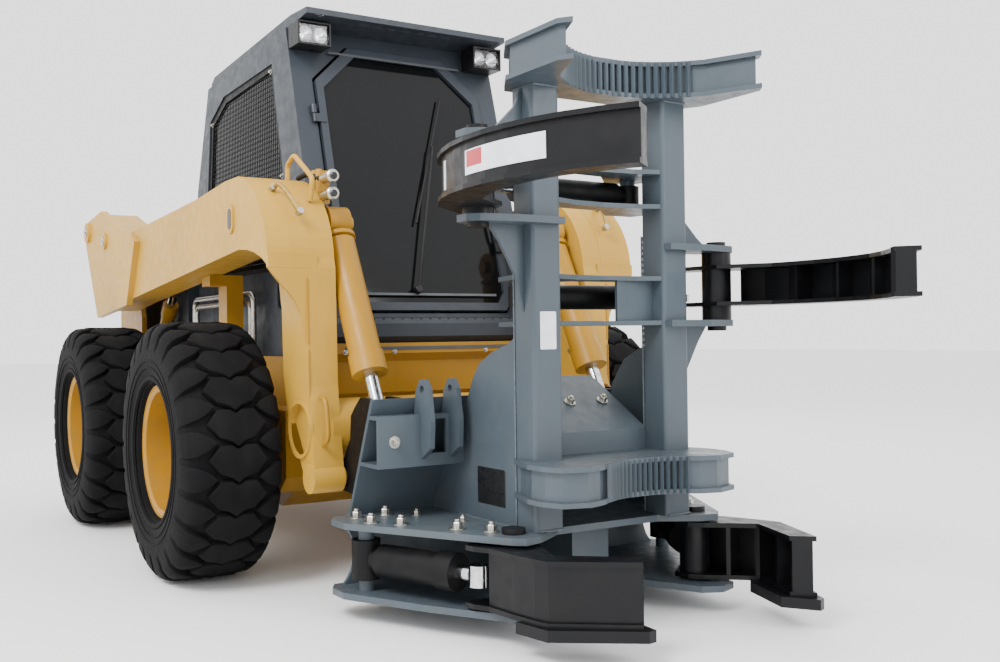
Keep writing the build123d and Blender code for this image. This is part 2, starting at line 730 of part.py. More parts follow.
# The bent front plate narrows from the beam's width to the leg's, as (y, z).
front_plate_outline = [
    (LEG_OUTER_Y - 40, ELBOW_FOOT_Z + 40),
    (BOOM_OUTER_Y, ELBOW_FOOT_Z + 40),
    (BOOM_OUTER_Y, ELBOW_FOOT_Z),
    (748, 1066),
    (722, 1036),
    (696, 1008),
    (673, 978),
    (656, 943),
    (646, 900),
    (LEG_OUTER_Y, 830),
    (LEG_OUTER_Y - 40, 830),
]
FRONT_PLATE_X = (1196.0, 1213.0)
doubler_outline = [
    (BOOM_PIVOT[0] - 30, 1490),
    (-1025, 1517),
    (-379, 1310),
    (-533, 1025),
    (-1133, 980),
    (BOOM_PIVOT[0] - 85, 1380),
]
CROSS_TUBE = (1146.0, 551.0)
CROSS_TUBE_RADIUS = 100.0
CROSS_TUBE_WALL = 12.0
LEG_BOSS = 50.0
with BuildPart() as boom:
    for side in (1, -1):
        low, high = sorted((side * BOOM_INNER_Y, side * BOOM_OUTER_Y))
        side_plate(beam_outline, low, high)
        low, high = sorted((side * BOOM_OUTER_Y, side * (BOOM_OUTER_Y + DOUBLER)))
        side_plate(doubler_outline, low, high)
        low, high = sorted((side * LEG_INNER_Y, side * LEG_OUTER_Y))
        side_plate(leg_outline, low, high)
        cross_plate([(side * y, z) for y, z in front_plate_outline], *FRONT_PLATE_X)
        start = side * (TUB_HALF_WIDTH + 62)
        across_bar(BOOM_PIVOT, start, side * (BOOM_INNER_Y + 4), PIN_RADIUS)
        across_bar(BOOM_PIVOT, side * (BOOM_OUTER_Y + DOUBLER - 2), side * (BOOM_OUTER_Y + DOUBLER + 16), 52)
        across_bar((-939, 1357), side * (BOOM_OUTER_Y + DOUBLER - 2), side * (BOOM_OUTER_Y + DOUBLER + 12), 40)
        across_bar(LIFT_ROD_PIN, side * (TUB_HALF_WIDTH + 78), side * (BOOM_INNER_Y + 4), 46)
    across_bar(CROSS_TUBE, -LEG_INNER_Y - 30, LEG_INNER_Y + 30, CROSS_TUBE_RADIUS)
    bore_radius = CROSS_TUBE_RADIUS - CROSS_TUBE_WALL
    across_bar(CROSS_TUBE, -LEG_INNER_Y - 31, LEG_INNER_Y + 31, bore_radius, Mode.SUBTRACT)
    for side in (1, -1):
        across_bar(HEAD_PIN, side * LEG_INNER_Y, side * (LEG_OUTER_Y + 6), LEG_BOSS)
        across_bar(CROSS_TUBE, side * (LEG_OUTER_Y - 4), side * (LEG_OUTER_Y + 8), CROSS_TUBE_RADIUS - 2)
        across_bar(CROSS_TUBE, side * (LEG_OUTER_Y - 20), side * (LEG_OUTER_Y + 9), bore_radius, Mode.SUBTRACT)
        across_bar(TILT_TOP_PIN, side * (TILT_CYLINDER_Y - 62), side * LEG_INNER_Y, PIN_RADIUS - 6)
    for side in (1, -1):
        across_bar(HEAD_PIN, side * (LEG_INNER_Y - 108), side * (LEG_OUTER_Y + 6), PIN_RADIUS)
save(boom, "boom_arms")

# Round-bar hose guard on the right shoulder, and the pipes and quick couplers that it guards.
with BuildPart() as guard:
    guard_y = -(LEG_INNER_Y + 50)
    pipe(
        [
            (923, guard_y, 1426.8),
            (923, guard_y, 1480),
            (985, guard_y, 1508),
            (1146, guard_y, 1405),
            (1123, guard_y, 1330),
        ],
        [25, 35, 28],
        9,
    )
    block((1000, -LEG_INNER_Y + SEAT_GAP, 1325), (1075, -LEG_INNER_Y + 26, 1372))
    for x in (1018, 1056):
        upright_bar((x, -LEG_INNER_Y + 13), 1370, 1452, 11)
save(guard, "hose_guard")

REST_X = 255.0
rest_top_z = 1048 + (REST_X + 628) * (1171 - 1048) / (929 + 628)
with BuildPart() as rests:
    for side in (1, -1):
        low, high = sorted((side * (CHAINCASE_Y - 70), side * CHAINCASE_Y))
        block((REST_X - 50, low, 600 + SEAT_GAP), (REST_X + 50, high, rest_top_z - 40))
        low, high = sorted((side * (CHAINCASE_Y - 70), side * (BOOM_INNER_Y + 50)))
        side_plate(
            [
                (REST_X - 50, rest_top_z - 41),
                (REST_X + 50, rest_top_z - 41),
                (REST_X + 50, rest_top_z + 3),
                (REST_X - 50, rest_top_z - 5),
            ],
            low,
            high,
        )
save(rests, "boom_rests")

with BuildPart() as pipes:
    for side in (1, -1):
        for number in range(2):
            front = 350 + 34 * number
            rear = -360 - 34 * number
            y = side * (TUB_HALF_WIDTH + 15)
            z = 1010 + 34 * number
            foot = 600 + SEAT_GAP
            pipe([(front, y, foot), (front, y, z), (rear, y, z), (rear, y, foot)], [40, 40], 11)
save(pipes, "hydraulic_pipes")


# ---------------------------------------------------------------- cylinders
def unit(start, end):
    along = Vector(*end) - Vector(*start)
    return along / along.length


def on_line(start, end, distance):
    """The point at a distance from the start towards the end."""
    return tuple(Vector(*start) + unit(start, end) * distance)


def barrel_between(base, rod_end, radius, reach, eye, pin, across, width):
    """A cylinder barrel with its gland and base eye; the base eye turns about its own pin."""
    centre = Vector(*base)
    neck = on_line(base, rod_end, eye * 0.8)
    tail = on_line(base, rod_end, eye + 22)
    gland = on_line(base, rod_end, reach - 60)
    bar(neck, tail, radius * 0.7)
    bar(tail, on_line(base, rod_end, reach), radius)
    bar(gland, on_line(base, rod_end, reach), radius + 6)
    bar(tuple(centre - across * (width / 2)), tuple(centre + across * (width / 2)), eye)
    bar(tuple(centre - across * width), tuple(centre + across * width), pin + RUN_GAP, Mode.SUBTRACT)


def bore_out(base, rod_end, reach, radius, depth):
    """The hole that the rod slides in, from the gland down to its depth."""
    bar(on_line(base, rod_end, reach - depth), on_line(base, rod_end, reach + 5), radius + RUN_GAP, Mode.SUBTRACT)


def rod_between(base, rod_end, radius, reach, inside, eye, pin, across, width):
    """A rod from its hidden end, some length inside the gland, to its eye."""
    centre = Vector(*rod_end)
    length = (Vector(*rod_end) - Vector(*base)).length
    bar(on_line(base, rod_end, reach - inside), on_line(base, rod_end, length - eye * 0.8), radius)
    bar(tuple(centre - across * (width / 2)), tuple(centre + across * (width / 2)), eye)
    bar(tuple(centre - across * width), tuple(centre + across * width), pin, Mode.SUBTRACT)


ACROSS = Vector(0, 1, 0)
UP = Vector(0, 0, 1)


def placed(pin, y):
    return (pin[0], y, pin[1])


TILT_RADIUS = 55.0
TILT_ROD = 24.0
TILT_REACH = 590.0
TILT_BORE = 390.0
TILT_INSIDE = 340.0
with BuildPart() as tilt_barrels:
    for side in (1, -1):
        base = placed(TILT_TOP_PIN, side * TILT_CYLINDER_Y)
        end = placed(TILT_ROD_PIN, side * TILT_CYLINDER_Y)
        barrel_between(base, end, TILT_RADIUS, TILT_REACH, 58, PIN_RADIUS - 6, ACROSS, 80)
        bore_out(base, end, TILT_REACH, TILT_ROD, TILT_BORE)
save(tilt_barrels, "tilt_barrels")
with BuildPart() as tilt_rods:
    for side in (1, -1):
        base = placed(TILT_TOP_PIN, side * TILT_CYLINDER_Y)
        end = placed(TILT_ROD_PIN, side * TILT_CYLINDER_Y)
        rod_between(base, end, TILT_ROD, TILT_REACH, TILT_INSIDE, 45, 30, ACROSS, 60)
save(tilt_rods, "tilt_rods")

LIFT_RADIUS = 38.0
LIFT_ROD = 22.0
LIFT_REACH = 790.0
LIFT_BORE = 708.0
LIFT_INSIDE = 695.0
with BuildPart() as lift_barrels:
    for side in (1, -1):
        base = placed(LIFT_BASE_PIN, side * LIFT_CYLINDER_Y)
        end = placed(LIFT_ROD_PIN, side * LIFT_CYLINDER_Y)
        barrel_between(base, end, LIFT_RADIUS - 6, LIFT_REACH, 48, PIN_RADIUS, ACROSS, 60)
        bore_out(base, end, LIFT_REACH, LIFT_ROD, LIFT_BORE)
save(lift_barrels, "lift_barrels")
with BuildPart() as lift_rods:
    for side in (1, -1):
        base = placed(LIFT_BASE_PIN, side * LIFT_CYLINDER_Y)
        end = placed(LIFT_ROD_PIN, side * LIFT_CYLINDER_Y)
        rod_between(base, end, LIFT_ROD, LIFT_REACH, LIFT_INSIDE, 40, 28, ACROSS, 48)
save(lift_rods, "lift_rods")

# ---------------------------------------------------------------- shear head: mounting and decks
MOUNT_LOW = (1454.0, 316.0)
MOUNT_HIGH = (1612.0, 670.0)
MOUNT_SLOPE = (MOUNT_HIGH[0] - MOUNT_LOW[0]) / (MOUNT_HIGH[1] - MOUNT_LOW[1])
MOUNT_PLATE = 16.0
MOUNT_HALF = 595.0


def mount_x(z):
    """Front face of the leaning mounting plate at a height."""
    return MOUNT_LOW[0] + MOUNT_SLOPE * (z - MOUNT_LOW[1])


BEAM_LOW_Z = 462.0
BEAM_HIGH_Z = 620.0
BEAM_FRONT_X = 1645.0
BEAM_PLATE = 12.0
HOOK_Y = (340.0, 440.0)
HOOK_PLATE = 16.0
HOOK_HOLE = 12.5
HOOK_HOLE_AT = (1652.0, 697.0)
GUSSET_OUTER_Y = POST_OUTER_Y
GUSSET_PLATE = 15.0
hook_outline = [
    (BEAM_FRONT_X, 484),
    (1700, 520),
    (1706, 600),
    (1690, 700),
    (1668, 728),
    (1640, 728),
    (1612, 690),
    (1600, BEAM_HIGH_Z),
    (BEAM_FRONT_X, BEAM_HIGH_Z),
]
with BuildPart() as mount:
    side_plate(
        [
            (mount_x(DECK_TOP_Z), DECK_TOP_Z),
            (mount_x(MOUNT_HIGH[1]), MOUNT_HIGH[1]),
            (mount_x(MOUNT_HIGH[1]) - MOUNT_PLATE, MOUNT_HIGH[1]),
            (mount_x(DECK_TOP_Z) - MOUNT_PLATE, DECK_TOP_Z),
        ],
        -MOUNT_HALF,
        MOUNT_HALF,
    )
    for side in (1, -1):
        low, high = sorted((side * GUSSET_OUTER_Y, side * MOUNT_HALF))
        side_plate(
            [
                (mount_x(BEAM_LOW_Z) - 4, BEAM_LOW_Z),
                (BEAM_FRONT_X, BEAM_LOW_Z),
                (BEAM_FRONT_X, BEAM_HIGH_Z),
                (mount_x(BEAM_HIGH_Z) - 4, BEAM_HIGH_Z),
                (mount_x(BEAM_HIGH_Z - BEAM_PLATE) - 4, BEAM_HIGH_Z - BEAM_PLATE),
                (BEAM_FRONT_X - BEAM_PLATE, BEAM_HIGH_Z - BEAM_PLATE),
                (BEAM_FRONT_X - BEAM_PLATE, BEAM_LOW_Z + BEAM_PLATE),
                (mount_x(BEAM_LOW_Z + BEAM_PLATE) - 4, BEAM_LOW_Z + BEAM_PLATE),
            ],
            low,
            high,
        )
        for y in HOOK_Y:
            low, high = sorted((side * (y - HOOK_PLATE / 2), side * (y + HOOK_PLATE / 2)))
            side_plate(hook_outline, low, high)
            across_bar(HOOK_HOLE_AT, low - 1, high + 1, HOOK_HOLE, Mode.SUBTRACT)
        low, high = sorted((side * (HOOK_Y[0] + 20), side * (HOOK_Y[1] - 20)))
        block((BEAM_FRONT_X - BEAM_PLATE - 1, low, 500), (BEAM_FRONT_X + 1, high, 605), Mode.SUBTRACT)
save(mount, "mount_plate")

COUPLER_HALF = 400.0
COUPLER_EAR = 18.0
coupler_plate_x = -MOUNT_PLATE - SEAT_GAP
coupler_ear = [
    (HEAD_PIN[0] - 48, HEAD_PIN[1] - 10),
    (HEAD_PIN[0] - 30, HEAD_PIN[1] + 42),
    (HEAD_PIN[0] + 9, HEAD_PIN[1] + 62),
    (HEAD_PIN[0] + 58, HEAD_PIN[1] + 127),
    (HEAD_PIN[0] + 66, HEAD_PIN[1] + 207),
    (TILT_ROD_PIN[0] - 70, TILT_ROD_PIN[1] + 20),
    (TILT_ROD_PIN[0] - 30, TILT_ROD_PIN[1] + 52),
    (TILT_ROD_PIN[0] + 30, TILT_ROD_PIN[1] + 50),
    (mount_x(650) + coupler_plate_x - 10, 650),
    (mount_x(335) + coupler_plate_x - 10, 335),
    (HEAD_PIN[0] - 10, HEAD_PIN[1] - 48),
]
with BuildPart() as coupler:
    side_plate(
        [
            (mount_x(325) + coupler_plate_x, 325),
            (mount_x(655) + coupler_plate_x, 655),
            (mount_x(655) + coupler_plate_x - 16, 655),
            (mount_x(325) + coupler_plate_x - 16, 325),
        ],
        -LEG_INNER_Y + 12,
        LEG_INNER_Y - 12,
    )
    for side in (1, -1):
        for centre in (TILT_CYLINDER_Y - 49, TILT_CYLINDER_Y + 45):
            low, high = sorted((side * (centre - COUPLER_EAR / 2), side * (centre + COUPLER_EAR / 2)))
            side_plate(coupler_ear, low, high)
        across_bar(HEAD_PIN, side * (LEG_INNER_Y - 132), side * (LEG_INNER_Y + 1), PIN_RADIUS + RUN_GAP, Mode.SUBTRACT)
save(coupler, "quick_coupler")

deck_right = [
    (MOUNT_LOW[0] - 18, -645),
    (1470, -672),
    (1560, -672),
    (2050, -392),
    (2078, -360),
    (2062, -300),
    (1990, -190),
]
deck_outline = deck_right + [(x, -y) for x, y in reversed(deck_right)]
floor_right = [
    (MOUNT_LOW[0] - 18, -650),
    (1480, -676),
    (1560, -676),
    (1830, -540),
    (2040, -410),
    (2106, -395),
    (2128, -330),
    (2100, -270),
    (2010, -225),
    (1910, -170),
]
floor_outline = floor_right + [(x, -y) for x, y in reversed(floor_right)]
SHEAR_PIN = 34.0
CYLINDER_PIN = 24.0
with BuildPart() as deck:
    flat_plate(deck_outline, DECK_TOP_Z - DECK_PLATE, DECK_TOP_Z)
    for side in (1, -1):
        upright_bar((SHEAR_PIVOT[0], side * SHEAR_PIVOT[1]), 200, 400, SHEAR_PIN + RUN_GAP, Mode.SUBTRACT)
save(deck, "upper_deck")

DECK_WEB = 14.0
with BuildPart() as floor_deck:
    flat_plate(floor_outline, FLOOR_DECK_TOP_Z - DECK_PLATE, FLOOR_DECK_TOP_Z)
    web_high = DECK_TOP_Z - DECK_PLATE
    for side in (1, -1):
        upright_bar((SHEAR_PIVOT[0], side * SHEAR_PIVOT[1]), 50, 100, SHEAR_PIN + RUN_GAP, Mode.SUBTRACT)
        upright_bar((SHEAR_BASE[0], side * SHEAR_BASE[1]), FLOOR_DECK_TOP_Z - 1, web_high, CYLINDER_PIN)
    with BuildSketch(Plane.YZ.offset(MOUNT_LOW[0] - 4)) as back_web:
        with BuildLine():
            Line((-630, FLOOR_DECK_TOP_Z - 1), (630, FLOOR_DECK_TOP_Z - 1))
            ThreePointArc((630, FLOOR_DECK_TOP_Z - 1), (590, (FLOOR_DECK_TOP_Z + web_high) / 2), (630, web_high))
            Line((630, web_high), (-630, web_high))
            ThreePointArc((-630, web_high), (-590, (FLOOR_DECK_TOP_Z + web_high) / 2), (-630, FLOOR_DECK_TOP_Z - 1))
        make_face()
    extrude(back_web.sketch, amount=DECK_WEB)
    block((1700, -70, FLOOR_DECK_TOP_Z - 1), (1900, 70, web_high))
save(floor_deck, "lower_deck")

gusset_outline = [
    (MAST_BACK_X - SEAT_GAP, DECK_TOP_Z + SEAT_GAP),
    (MAST_BACK_X - SEAT_GAP, 850),
    (1890, 832),
    (1808, 809),
    (1740, 776),
    (1700, 728),
    (1660, 650),
    (mount_x(625) + SEAT_GAP, 625),
    (mount_x(DECK_TOP_Z) + SEAT_GAP, DECK_TOP_Z + SEAT_GAP),
]
with BuildPart() as gussets:
    for side in (1, -1):
        low, high = sorted((side * (GUSSET_OUTER_Y - GUSSET_PLATE), side * (GUSSET_OUTER_Y - SEAT_GAP)))
        side_plate(gusset_outline, low, high)
save(gussets, "side_gussets")

# ---------------------------------------------------------------- mast
YOKE_PLATE = 14.0
post_top_z = UPPER_YOKE_TOP_Z - YOKE_HEIGHT - SEAT_GAP
with BuildPart() as posts:
    for side in (1, -1):
        with BuildSketch(Plane.XY.offset(DECK_TOP_Z + SEAT_GAP)) as post_section:
            with Locations((MAST_BACK_X + POST_SIZE / 2, side * POST_CENTRE_Y)):
                RectangleRounded(POST_SIZE, POST_SIZE, 12)
                RectangleRounded(POST_SIZE - 2 * POST_WALL, POST_SIZE - 2 * POST_WALL, 4, mode=Mode.SUBTRACT)
        extrude(post_section.sketch, amount=post_top_z - DECK_TOP_Z - SEAT_GAP)
save(posts, "mast_posts")


def yoke(front, back, top_z, web_gap, post_hole):
    """Two flanges with a web between them, set back from the toothed front edge."""
    outline = front + [(x, -y) for x, y in reversed(front)]
    bottom_z = top_z - YOKE_HEIGHT
    full = outline + back
    flat_plate(full, top_z - YOKE_PLATE, top_z)
    flat_plate(full, bottom_z, bottom_z + YOKE_PLATE)
    with BuildSketch(Plane.XY.offset(bottom_z)) as walls:
        Polygon(*full, align=None)
        offset(amount=-web_gap, kind=Kind.INTERSECTION, mode=Mode.REPLACE)
    inner = walls.sketch
    with BuildSketch(Plane.XY.offset(bottom_z)) as hollow:
        Polygon(*full, align=None)
        offset(amount=-web_gap - YOKE_PLATE, kind=Kind.INTERSECTION, mode=Mode.REPLACE)
    extrude(inner, amount=YOKE_HEIGHT)
    extrude(
        Sketch() + [face.moved(Location((0, 0, YOKE_PLATE))) for face in hollow.sketch.faces()],
        amount=YOKE_HEIGHT - 2 * YOKE_PLATE,
        mode=Mode.SUBTRACT,
    )
    if post_hole:
        for side in (1, -1):
            centre = (MAST_BACK_X + POST_SIZE / 2, side * POST_CENTRE_Y)
            half = POST_SIZE / 2 + SEAT_GAP
            block(
                (centre[0] - half, centre[1] - half, bottom_z - 1),
                (centre[0] + half, centre[1] + half, top_z + 1),
                Mode.SUBTRACT,
            )


def arc_points(centre_x, radius, half_angle, count):
    """Points of a throat that curves round a tree standing in front of the mast."""
    result = []
    for step in range(count + 1):
        angle = -half_angle + 2 * half_angle * step / count
        result.append((centre_x - radius * cos(radians(angle)), radius * sin(radians(angle))))
    return result


throat = arc_points(2350, 345, 52, 12)
half_throat = [point for point in throat if point[1] < -1]
upper_front = [(1905, -300), (2020, -372), (2262, -372), (2296, -345)] + half_throat[0:]
lower_throat = [point for point in arc_points(2410, 280, 40, 8) if point[1] < -1]
lower_front = [(MAST_BACK_X + SEAT_GAP, -300), (2060, -345), (2130, -345), (2190, -318), (2214, -240)] + lower_throat
with BuildPart() as upper_yoke:
    yoke(upper_front, [], UPPER_YOKE_TOP_Z, 14, False)
save(upper_yoke, "upper_yoke")
with BuildPart() as lower_yoke:
    yoke(lower_front, [], LOWER_YOKE_TOP_Z, 14, True)
save(lower_yoke, "lower_yoke")

# Flat cross plates that tie the posts and carry the grapple cylinders between them.
CROSS_PLATE = 14.0
left_cylinder_z = LEFT_GRAPPLE_Z + 30
right_cylinder_z = RIGHT_GRAPPLE_Z + 87
cross_levels = (
    left_cylinder_z - 90,
    left_cylinder_z + 46,
    right_cylinder_z - 46 - CROSS_PLATE,
    right_cylinder_z + 46,
)
base_side = {cross_levels[0]: -1, cross_levels[1]: -1, cross_levels[2]: 1, cross_levels[3]: 1}
span = POST_INNER_Y - SEAT_GAP
with BuildPart() as cross_plates:
    for level, side in base_side.items():
        tail = [
            (MAST_BACK_X - SEAT_GAP, side * span),
            (MAST_BACK_X - SEAT_GAP, side * POST_OUTER_Y),
            (GRAPPLE_BASE[0] - 44, side * (GRAPPLE_BASE[1] + 50)),
            (GRAPPLE_BASE[0] - 44, side * (GRAPPLE_BASE[1] - 60)),
            (MAST_BACK_X - 30, side * 60),
            (MAST_BACK_X - 10, -side * span),
        ]
        front = [
            (MAST_FRONT_X - 8, -side * span),
            (MAST_FRONT_X - 36, -side * span * 0.6),
            (MAST_FRONT_X - 48, 0),
            (MAST_FRONT_X - 36, side * span * 0.6),
            (MAST_FRONT_X - 8, side * span),
        ]
        flat_plate(tail + front, level, level + CROSS_PLATE)
    low = cross_levels[0] + CROSS_PLATE - 1
    high = cross_levels[1] + 1
    block((MAST_FRONT_X - 62, 20, low), (MAST_FRONT_X - 50, span, high))
    upright_bar((MAST_FRONT_X - 60, 20), low, high, 34, Mode.SUBTRACT)
    for level_pair, side in (((0, 1), -1), ((2, 3), 1)):
        base = (GRAPPLE_BASE[0], side * GRAPPLE_BASE[1])
        upright_bar(base, cross_levels[level_pair[0]] + 1, cross_levels[level_pair[1]] + 1, CYLINDER_PIN)
save(cross_plates, "mast_cross_plates")

# Folded guard plate between the posts, leaning back over the mounting.
with BuildPart() as guard_plate:
    guard_low = LOWER_YOKE_TOP_Z + SEAT_GAP
    side_plate(
        [
            (MAST_BACK_X + 2, guard_low),
            (MAST_BACK_X + 10, guard_low),
            (MAST_BACK_X + 10, 566),
            (1668, 724),
            (1662, 716),
            (MAST_BACK_X + 2, 560),
        ],
        -span,
        span,
    )
save(guard_plate, "guard_plate")

# ---------------------------------------------------------------- grapple arms
BRACKET_PLATE = 20.0
BRACKET_SPAN = 215.0
GRAPPLE_PIN = 30.0
HUB_RADIUS_GRAPPLE = 46.0
FLANGE = 12.0
right_bracket_z = RIGHT_GRAPPLE_Z - 20 - BRACKET_PLATE
left_bracket_z = LEFT_GRAPPLE_Z - 45 - BRACKET_PLATE
bracket_outline = [
    (MAST_BACK_X - 10, POST_OUTER_Y + SEAT_GAP),
    (MAST_FRONT_X + SEAT_GAP, POST_OUTER_Y + SEAT_GAP),
    (MAST_FRONT_X + SEAT_GAP, POST_INNER_Y + 6),
    (MAST_FRONT_X + 30, POST_INNER_Y + 6),
    (MAST_FRONT_X + 34, 360),
    (GRAPPLE_PIVOT[0] + 46, GRAPPLE_PIVOT[1] + 24),
    (GRAPPLE_PIVOT[0] + 20, GRAPPLE_PIVOT[1] + 52),
    (GRAPPLE_PIVOT[0] - 30, GRAPPLE_PIVOT[1] + 52),
    (GRAPPLE_PIVOT[0] - 56, GRAPPLE_PIVOT[1] + 20),
    (MAST_BACK_X - 30, POST_OUTER_Y + 40),
]
LOWER_GUSSET_HEIGHT = 250.0
lower_gusset = [
    (GRAPPLE_PIVOT[1] - 40, 0),
    (GRAPPLE_PIVOT[1] - 76, -50),
    (POST_OUTER_Y + 26, -150),
    (POST_OUTER_Y + SEAT_GAP, -LOWER_GUSSET_HEIGHT),
    (POST_OUTER_Y + SEAT_GAP, 0),
]
right_bracket_top_z = right_bracket_z + 2 * BRACKET_PLATE + BRACKET_SPAN
upper_gusset_height = UPPER_YOKE_TOP_Z - YOKE_HEIGHT - 6.5 - right_bracket_top_z
upper_gusset = [(y, -z * upper_gusset_height / LOWER_GUSSET_HEIGHT) for y, z in lower_gusset]
with BuildPart() as brackets:
    for side, low_z in ((-1, right_bracket_z), (1, left_bracket_z)):
        outline = bracket_outline if side > 0 else flipped(bracket_outline)
        upper_z = low_z + BRACKET_PLATE + BRACKET_SPAN
        gusset_x = MAST_BACK_X + 44
        for level, gusset, shift in (
            (low_z, lower_gusset, low_z),
            (upper_z, upper_gusset, upper_z + BRACKET_PLATE),
        ):
            flat_plate(outline, level, level + BRACKET_PLATE)
            cross_plate([(side * y, z + shift) for y, z in gusset], gusset_x, gusset_x + 12)
            centre = (GRAPPLE_PIVOT[0], side * GRAPPLE_PIVOT[1])
            upright_bar(centre, level - 5, level + BRACKET_PLATE + 5, GRAPPLE_PIN + RUN_GAP, Mode.SUBTRACT)
save(brackets, "grapple_brackets")


def grapple_arc(inset):
    """Outer edge of a left arm that points straight ahead, moved inwards by an inset."""
    radius = 727.0
    centre = (GRAPPLE_PIVOT[0] + 330.0, GRAPPLE_PIVOT[1] - 525.0)
    result = []
    for step in range(ARC_STEPS + 1):
        angle = radians(118 - ARC_SWEEP * step / ARC_STEPS)
        result.append((centre[0] + (radius - inset) * cos(angle), centre[1] + (radius - inset) * sin(angle)))
    return result


ARC_STEPS = 10
ARC_SWEEP = 69.0
ARM_DEPTH_HUB = 125.0
ARM_DEPTH_TIP = 66.0
ARM_WEB = 12.0
ARM_TIP_PLATE = 16.0
RIB_STEPS = (3, 5, 7)
RIB_PLATE = 10.0


def inner_edge(trim):
    """The arm's inner edge, deep at the hub and shallow at the tip, moved outwards by a trim."""
    deep = grapple_arc(ARM_DEPTH_HUB - trim)
    shallow = grapple_arc(ARM_DEPTH_TIP - trim)
    result = []
    for step in range(ARC_STEPS + 1):
        share = min(1.0, step / ARC_STEPS * 1.4)
        start = deep[step]
        end = shallow[step]
        result.append((start[0] + (end[0] - start[0]) * share, start[1] + (end[1] - start[1]) * share))
    return result


def ahead(point, length):
    """A point moved along the machine."""
    return (point[0] + length, point[1])


def swung(points, pivot, angle, side):
    """An outline turned about its pivot to where the arm rests, on its own side of the machine."""
    return [(x, side * y) for x, y in (turned(point, pivot, angle) for point in points)]


arm_flange = grapple_arc(0) + list(reversed(inner_edge(0)[2:]))
arm_flange += [
    (GRAPPLE_PIVOT[0] + 60, GRAPPLE_PIVOT[1] - 44),
    (GRAPPLE_PIVOT[0] + 20, GRAPPLE_PIVOT[1] - 50),
    (GRAPPLE_EYE[0] + 36, GRAPPLE_EYE[1] - 40),
    (GRAPPLE_EYE[0] - 20, GRAPPLE_EYE[1] - 34),
    (GRAPPLE_EYE[0] - 32, GRAPPLE_EYE[1] + 10),
]
arm_web = grapple_arc(ARM_WEB) + list(reversed(grapple_arc(2 * ARM_WEB)))
face_edge = grapple_arc(ARM_WEB + 2)
rib_edge = inner_edge(10)
arm_ribs = [
    [
        ahead(rib_edge[step], -RIB_PLATE / 2),
        ahead(rib_edge[step], RIB_PLATE / 2),
        ahead(face_edge[step], RIB_PLATE / 2),
        ahead(face_edge[step], -RIB_PLATE / 2),
    ]
    for step in RIB_STEPS
]
arm_ribs.append(
    [
        face_edge[-1],
        inner_edge(4)[-1],
        ahead(inner_edge(4)[-1], -ARM_TIP_PLATE),
        ahead(face_edge[-1], -ARM_TIP_PLATE),
    ]
)
GRAPPLE_REACH = 450.0
GRAPPLE_BORE = 250.0
GRAPPLE_INSIDE = 210.0
for name, side, arm_z in (("right", -1, RIGHT_GRAPPLE_Z), ("left", 1, LEFT_GRAPPLE_Z)):
    rest = GRAPPLE_REST[name]
    top_z = arm_z + GRAPPLE_HEIGHT
    bracket_low = right_bracket_z if side < 0 else left_bracket_z
    hub_low = bracket_low + BRACKET_PLATE
    centre = (GRAPPLE_PIVOT[0], side * GRAPPLE_PIVOT[1])
    with BuildPart() as arm:
        flange = swung(arm_flange, GRAPPLE_PIVOT, rest, side)
        flat_plate(flange, arm_z, arm_z + FLANGE)
        flat_plate(flange, top_z - FLANGE, top_z)
        flat_plate(swung(arm_web, GRAPPLE_PIVOT, rest, side), arm_z + 1, top_z - 1)
        for rib in arm_ribs:
            flat_plate(swung(rib, GRAPPLE_PIVOT, rest, side), arm_z + 1, top_z - 1)
        upright_bar(centre, hub_low + SEAT_GAP, hub_low + BRACKET_SPAN - SEAT_GAP, HUB_RADIUS_GRAPPLE)
        upright_bar(centre, bracket_low - 14, hub_low + BRACKET_PLATE + BRACKET_SPAN + 14, GRAPPLE_PIN)
    save(arm, f"grapple_arm_{name}")

    cylinder_z = right_cylinder_z if side < 0 else left_cylinder_z
    eye_at = turned(GRAPPLE_EYE, GRAPPLE_PIVOT, rest)
    base = (GRAPPLE_BASE[0], -side * GRAPPLE_BASE[1], cylinder_z)
    eye = (eye_at[0], side * eye_at[1], cylinder_z)
    with BuildPart() as barrel:
        barrel_between(base, eye, 38, GRAPPLE_REACH, 36, CYLINDER_PIN, UP, 60)
        bore_out(base, eye, GRAPPLE_REACH, 18, GRAPPLE_BORE)
    save(barrel, f"grapple_barrel_{name}")
    with BuildPart() as rod:
        rod_between(base, eye, 18, GRAPPLE_REACH, GRAPPLE_INSIDE, 24, 14, UP, 24)
    save(rod, f"grapple_rod_{name}")

# ---------------------------------------------------------------- shear arms
SHEAR_HUB = 46.0
shear_flange = [
    (1922, 400),
    (1918, 446),
    (1932, 470),
    (1966, 466),
    (2010, 444),
    (2110, 436),
    (2196, 424),
    (2241, 412),
    (2389, 215),
    (2318, 192),
    (2190, 350),
    (2120, 326),
    (2040, 290),
    (1990, 280),
    (1940, 300),
]
shear_web = [
    (2000, 436),
    (2110, 427),
    (2190, 415),
    (2234, 403),
    (2378, 212),
    (2366, 204),
    (2224, 390),
    (2186, 399),
    (2110, 411),
    (2000, 420),
]
shear_ribs = [
    [(2372, 216), (2380, 206), (2324, 196), (2318, 204)],
    [(2180, 348), (2194, 346), (2232, 394), (2220, 400)],
    [(2098, 320), (2110, 324), (2118, 420), (2106, 420)],
    [(2262, 266), (2270, 256), (2314, 286), (2306, 296)],
]
blade_outline = [
    (2140, 444),
    (2256, 424),
    (2408, 212),
    (2404, 186),
    (2296, 176),
    (2170, 322),
]
SHEAR_REACH = 350.0
SHEAR_BORE = 160.0
SHEAR_INSIDE = {"right": 106.0, "left": 128.0}
